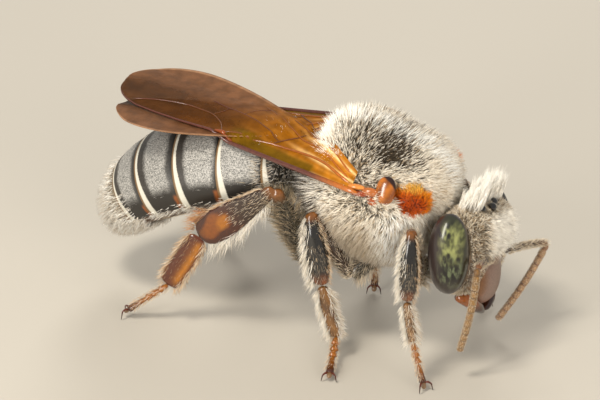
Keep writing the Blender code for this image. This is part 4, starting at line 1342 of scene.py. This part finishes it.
wings = {
    "fore": {
        "R": {"hinge": (-0.53, -1.93, 0.68), "end": (-7.0, -0.6, 1.2), "rise": 0.12, "reach": 1.0},
        "L": {"hinge": (-0.53, 1.93, 0.9), "end": (-7.0, 0.6, 0.97), "rise": 0.1, "reach": 0.972},
    },
    "length": 7.84, "chord": 2.42, "rootChord": 0.52, "widest": 0.74, "apexBack": 0.85, "thick": 0.014,
    "costaRadius": 0.062,
    # the front edge's vein as rows of length and thickness
    "costa": ((-0.25, 0.9), (0.0, 1.2), (0.6, 1.15), (1.6, 1.05), (2.8, 1.0), (3.8, 0.95),
              (4.4, 0.62), (5.4, 0.45), (6.2, 0.38), (6.9, 0.32), (7.4, 0.27), (7.7, 0.2)),
    # veins as rows of length along the front edge and share of the blade behind it
    "veins": {
        "radius": (((0.1, 0.3), (0.9, 0.42), (1.8, 0.38), (2.7, 0.28), (3.4, 0.17), (4.05, 0.04)), 0.04),
        "median": (((0.15, 0.45), (0.9, 0.62), (1.7, 0.66), (2.3, 0.68), (3.1, 0.78), (3.9, 0.86)), 0.026),
        "anal": (((0.15, 0.7), (0.9, 0.84), (1.9, 0.88), (2.9, 0.93)), 0.024),
        "basal": (((2.75, 0.27), (2.6, 0.42), (2.3, 0.68)), 0.022),
        "cell": (((2.66, 0.38), (3.4, 0.46), (4.3, 0.5), (5.2, 0.53)), 0.019),
        "cross": (((4.05, 0.49), (3.9, 0.66), (3.62, 0.84)), 0.017),
        "marginal": (((4.1, 0.04), (4.35, 0.2), (4.8, 0.31), (5.7, 0.3), (6.6, 0.2), (7.1, 0.08)), 0.021),
        "stem": (((4.8, 0.31), (4.65, 0.42), (4.6, 0.51)), 0.014),
        "lower": (((2.32, 0.68), (2.25, 0.8), (2.2, 0.89)), 0.016),
    },
}


def bladeEdges(share):
    # distances of the front and rear edges behind the straight front line; both end at the apex
    widest, apex = wings["widest"], wings["apexBack"]
    front = apex * (1 - math.sqrt(max(0.0, 1 - (max(0.0, share - 0.83) / 0.17) ** 2)))
    if share < widest:
        swell = math.sin(math.pi / 2 * share / widest)
        rear = wings["rootChord"] + (wings["chord"] - wings["rootChord"]) * swell
    else:
        rear = apex + (wings["chord"] - apex) * math.sqrt(max(0.0, 1 - ((share - widest) / (1 - widest)) ** 2))
    return front, rear


def bladeFunction(side, over):
    # gives the point of the wing's middle surface at a length and a share of the blade behind the front edge
    sign = sides[side]
    wing = wings["fore"][side]
    hinge = Vector(wing["hinge"])
    ahead = (Vector(wing["end"]) - hinge).normalized()
    inward = Vector((0.2, -sign * 0.97, wing["rise"]))
    inward = (inward - ahead * inward.dot(ahead)).normalized()
    upright = Vector((0.1, -sign * 0.5, 0.87))
    upright = (upright - ahead * upright.dot(ahead)).normalized()

    def point(length, back, lift=0.0):
        # the blade stands up along the body's side at its root and turns flat further out
        across = inward.lerp(upright, 0.85 * float(ease(2.3, 0.2, length))).normalized()
        up = ahead.cross(across) * sign
        share = min(max(length / wings["length"], 0.0), 1.0)
        front, chord = bladeEdges(min(share, 0.9995))
        spot = hinge + ahead * length * wing["reach"] + across * (front + (chord - front) * back)
        camber = 0.1 * math.sin(math.pi * min(back * chord / 1.8, 1.0)) * min(1.0, length / 1.5)
        fold = 0.02 * math.sin(back * 19 + length * 0.7) * back * (1 - back)
        spot += up * (camber + fold + lift)
        for tree, clearance in over:
            hit = tree.ray_cast(Vector((spot.x, spot.y, 6.0)), Vector((0, 0, -1)))[0]
            if hit is not None:
                gap = spot.z - hit.z - clearance
                spot.z += max(0.0, 0.5 * (math.sqrt(gap * gap + 0.004) - gap))
        return spot

    return point


def wingColor(length, back):
    amber, gold, smoke, mauve = tint(168, 104, 16), tint(136, 82, 10), tint(86, 48, 10), tint(74, 43, 16)
    color = mix(amber, gold, float(ease(0.5, 2.6, length)))
    color = mix(color, smoke, float(ease(2.6, 4.8, length)))
    color = mix(color, mauve, float(ease(4.6, 6.6, length)))
    outer = float(ease(2.6, 4.6, length))
    # a lighter mauve band towards the rear edge of the outer blade: painted sheen
    color = mix(color, tint(124, 86, 60), 0.6 * outer * float(ease(0.3, 0.85, back)))
    color = mix(color, tint(60, 36, 16), 0.45 * outer * math.exp(-((back - 0.3) / 0.16) ** 2))
    streak = (0.5 + 0.5 * math.sin(back * 30 + 1.2 * math.sin(length * 1.1))) ** 3
    color = mix(color, tint(206, 140, 58), 0.4 * streak * float(ease(4.8, 1.0, length)))
    # near-white streaks near the root: painted glints on the membrane
    paintedGlint = (0.5 + 0.5 * math.sin(back * 17 + 0.8 * math.sin(length * 1.7) + 0.6)) ** 5
    color = mix(color, tint(255, 220, 150), 0.8 * paintedGlint * float(ease(2.6, 1.0, length)))
    # a pale thin line along the outer rear edge: painted highlight
    color = mix(color, tint(168, 128, 96), 0.7 * float(ease(0.955, 0.975, back)) * outer)
    if back < 0.3 and 1.2 < length < 4.1:
        color = mix(color, tint(104, 74, 8), float(ease(0.3, 0.18, back)) * float(ease(4.1, 3.6, length)))
    return color


def makeMembraneFinish():
    material, tree, shader = makeShader("wingMembrane", 0.45, Alpha=0.84, Specular_IOR_Level=0.12)
    shade = step(tree, noiseAt(tree, 3.4, 3.0).outputs["Fac"], 0.35, 0.65, 0.72, 1.12)
    tree.links.new(mixColor(tree, "MULTIPLY", 1.0, marksOf(tree)["Color"], shade), shader.inputs["Base Color"])
    ripples = noiseAt(tree, 9, 2.0)
    bumpFrom(tree, shader, ripples.outputs["Fac"], 0.35, 0.02)
    return material


def bladePiece(point, name, nodes, material, longCount, crossCount, lengths, backs=(0.0, 1.0), lift=0.0):
    bm = bmesh.new()
    bmesh.ops.create_grid(bm, x_segments=longCount, y_segments=crossCount, size=0.5)

    def place(co):
        length = lengths[0] + (lengths[1] - lengths[0]) * math.sin(math.pi / 2 * (co.x + 0.5) ** 0.8)
        back = backs[0] + (backs[1] - backs[0]) * (co.y + 0.5)
        return point(length, back, lift), wingColor(length, back)

    painted(bm, place)
    bmesh.ops.solidify(bm, geom=bm.faces[:], thickness=wings["thick"])
    return finishPiece(bm, name, material, nodes)


def makeWings():
    membrane = makeMembraneFinish()
    veinFinish = markedShell("wingVein", 0.22, 0.12, 0.3, 12, 0.006, Coat_Weight=0.6, Coat_Roughness=0.1)
    rose, orange, gold = tint(84, 44, 34), tint(168, 92, 24), tint(96, 56, 20)
    below = [(obstacleOf(bpy.data.objects[f"tergitePlate{number}"]), 0.07) for number in range(1, 7)]
    for side in ("L", "R"):
        point = bladeFunction(side, below)
        piece = bladePiece(point, f"forewing{side}", (f"forewing_{side}",), membrane, 96, 40,
                           (0.0, wings["length"] * 0.995))
        bladePiece(point, f"hindwing{side}", (f"hindwing_{side}",), membrane, 48, 16,
                   (0.5, 4.6), (0.12, 0.8), -0.05)
        veins = []
        edge = [(*point(length, 0.0, 0.01), wings["costaRadius"] * thin) for length, thin in wings["costa"]]
        veins.append(curvedTube(edge, lambda share: mix(orange, rose, float(ease(0.06, 0.2, share))), 90, 12,
                                0.03))
        mark = [(*point(length, 0.02, 0.005), radius)
                for length, radius in ((3.72, 0.03), (4.02, 0.06), (4.3, 0.03))]
        veins.append(curvedTube(mark, lambda share: tint(128, 60, 18), 16, 12, 0.1))
        for rows, radius in wings["veins"].values():
            fine = smoothTable([(k / (len(rows) - 1), *row) for k, row in enumerate(rows)], 0.1)
            spots = [fine(k / 14) for k in range(15)]
            line = [(*point(length, back, 0.008), radius * (1 - 0.35 * k / 14))
                    for k, (length, back) in enumerate(spots)]
            first, last = (orange, gold) if rows[0][0] < 1 else (gold, rose)
            veins.append(curvedTube(line, lambda share: mix(first, last, share), 30, 8, 0.04))
        finishPiece(joined(veins), f"wingVeins{side}", veinFinish)
        below = below + [(obstacleOf(piece), 0.05)]
    print("wings made")


def obstacleOf(piece):
    # a search tree of a finished piece, in millimetres
    bm = bmesh.new()
    bm.from_mesh(piece.data)
    bm.transform(Matrix.Scale(1 / mm, 4) @ Matrix.Translation(-middle))
    tree = BVHTree.FromBMesh(bm)
    bm.free()
    return tree


print("finishes and shapes ready")
makeThorax()
makeThoraxPlates()
makeAbdomen()
makeHead()
makeEyes()
makeFeelers()
makeLegs()
print("shells made")
makeWings()
growThorax()
growAbdomen()
growHead()
growLegs()
print("coat triangles:", coatTriangles)

view = {"turn": math.radians(22), "lift": math.radians(28), "lens": 180.0, "sensor": 36.0, "scale": 38.0,
        "aim": (-2.5, -0.395), "width": 600}
viewRight = Vector((math.cos(view["turn"]), math.sin(view["turn"]), 0))
viewBack = Vector((math.sin(view["turn"]) * math.cos(view["lift"]),
                   -math.cos(view["turn"]) * math.cos(view["lift"]),
                   math.sin(view["lift"])))
viewUp = viewBack.cross(viewRight)


def makeCamera():
    data = bpy.data.cameras.new("bodyCamera")
    data.lens = view["lens"]
    data.sensor_width = view["sensor"]
    distance = view["width"] / view["scale"] * view["lens"] / view["sensor"]
    data.clip_start = 1 * mm
    data.clip_end = 10
    camera = newObject("bodyCamera", data)
    target = viewRight * view["aim"][0] + viewUp * view["aim"][1]
    turn = Matrix((viewRight, viewUp, viewBack)).transposed().to_4x4()
    camera.matrix_world = Matrix.Translation(middle + (target + viewBack * distance) * mm) @ turn
    bpy.context.scene.camera = camera


# each lamp: way to it from the camera's side, distance, size, power, colour, and whether the gloss shows it
lamps = {
    "keyLight": ((-0.35, 0.65, 0.65), 70, 16, 0.037, (1.0, 0.93, 0.82), False),
    "frontLight": ((0.5, -0.24, 1.0), 80, 60, 0.064, (1.0, 0.93, 0.84), False),
    "sideLight": ((-0.66, 0.02, 0.7), 75, 13, 0.033, (1.0, 0.95, 0.88), True),
    "rimLight": ((0.1, 0.85, -0.5), 80, 26, 0.036, (1.0, 0.97, 0.92), False),
}


def makeLight(name, direction, distance, size, power, color, glint):
    data = bpy.data.lights.new(name, "AREA")
    data.shape = "RECTANGLE"
    data.size = size * mm
    data.size_y = size * (4 if glint else 1) * mm
    data.energy = power
    data.color = color
    light = newObject(name, data)
    way = (viewRight * direction[0] + viewUp * direction[1] + viewBack * direction[2]).normalized()
    light.visible_glossy = glint  # only one lamp is seen in the gloss
    light.location = middle + way * distance * mm
    light.rotation_euler = way.to_track_quat("Z", "Y").to_euler()


studio = {"floorHalf": 0.6, "floorColor": tint(178, 173, 163), "floorRoughness": 0.7,
          "skyColor": (1.0, 0.98, 0.95, 1), "skyStrength": 0.42}


def makeStage():
    bm = bmesh.new()
    bmesh.ops.create_grid(bm, x_segments=1, y_segments=1, size=studio["floorHalf"])
    mesh = bpy.data.meshes.new("floor")
    bm.to_mesh(mesh)
    bm.free()
    floor = newObject("floor", mesh)
    floor.location = (0, 0, cadBox[0].z)
    paint = makeShader("paleFloor", studio["floorRoughness"], Base_Color=(*studio["floorColor"], 1))
    mesh.materials.append(paint[0])
    world = bpy.data.worlds.new("studio")
    bpy.context.scene.world = world
    world.use_nodes = True
    sky = world.node_tree.nodes["Background"]
    sky.inputs["Color"].default_value = studio["skyColor"]
    sky.inputs["Strength"].default_value = studio["skyStrength"]
    for name, settings in lamps.items():
        makeLight(name, *settings)


makeCamera()
makeStage()
bpy.context.scene.view_settings.view_transform = "Standard"
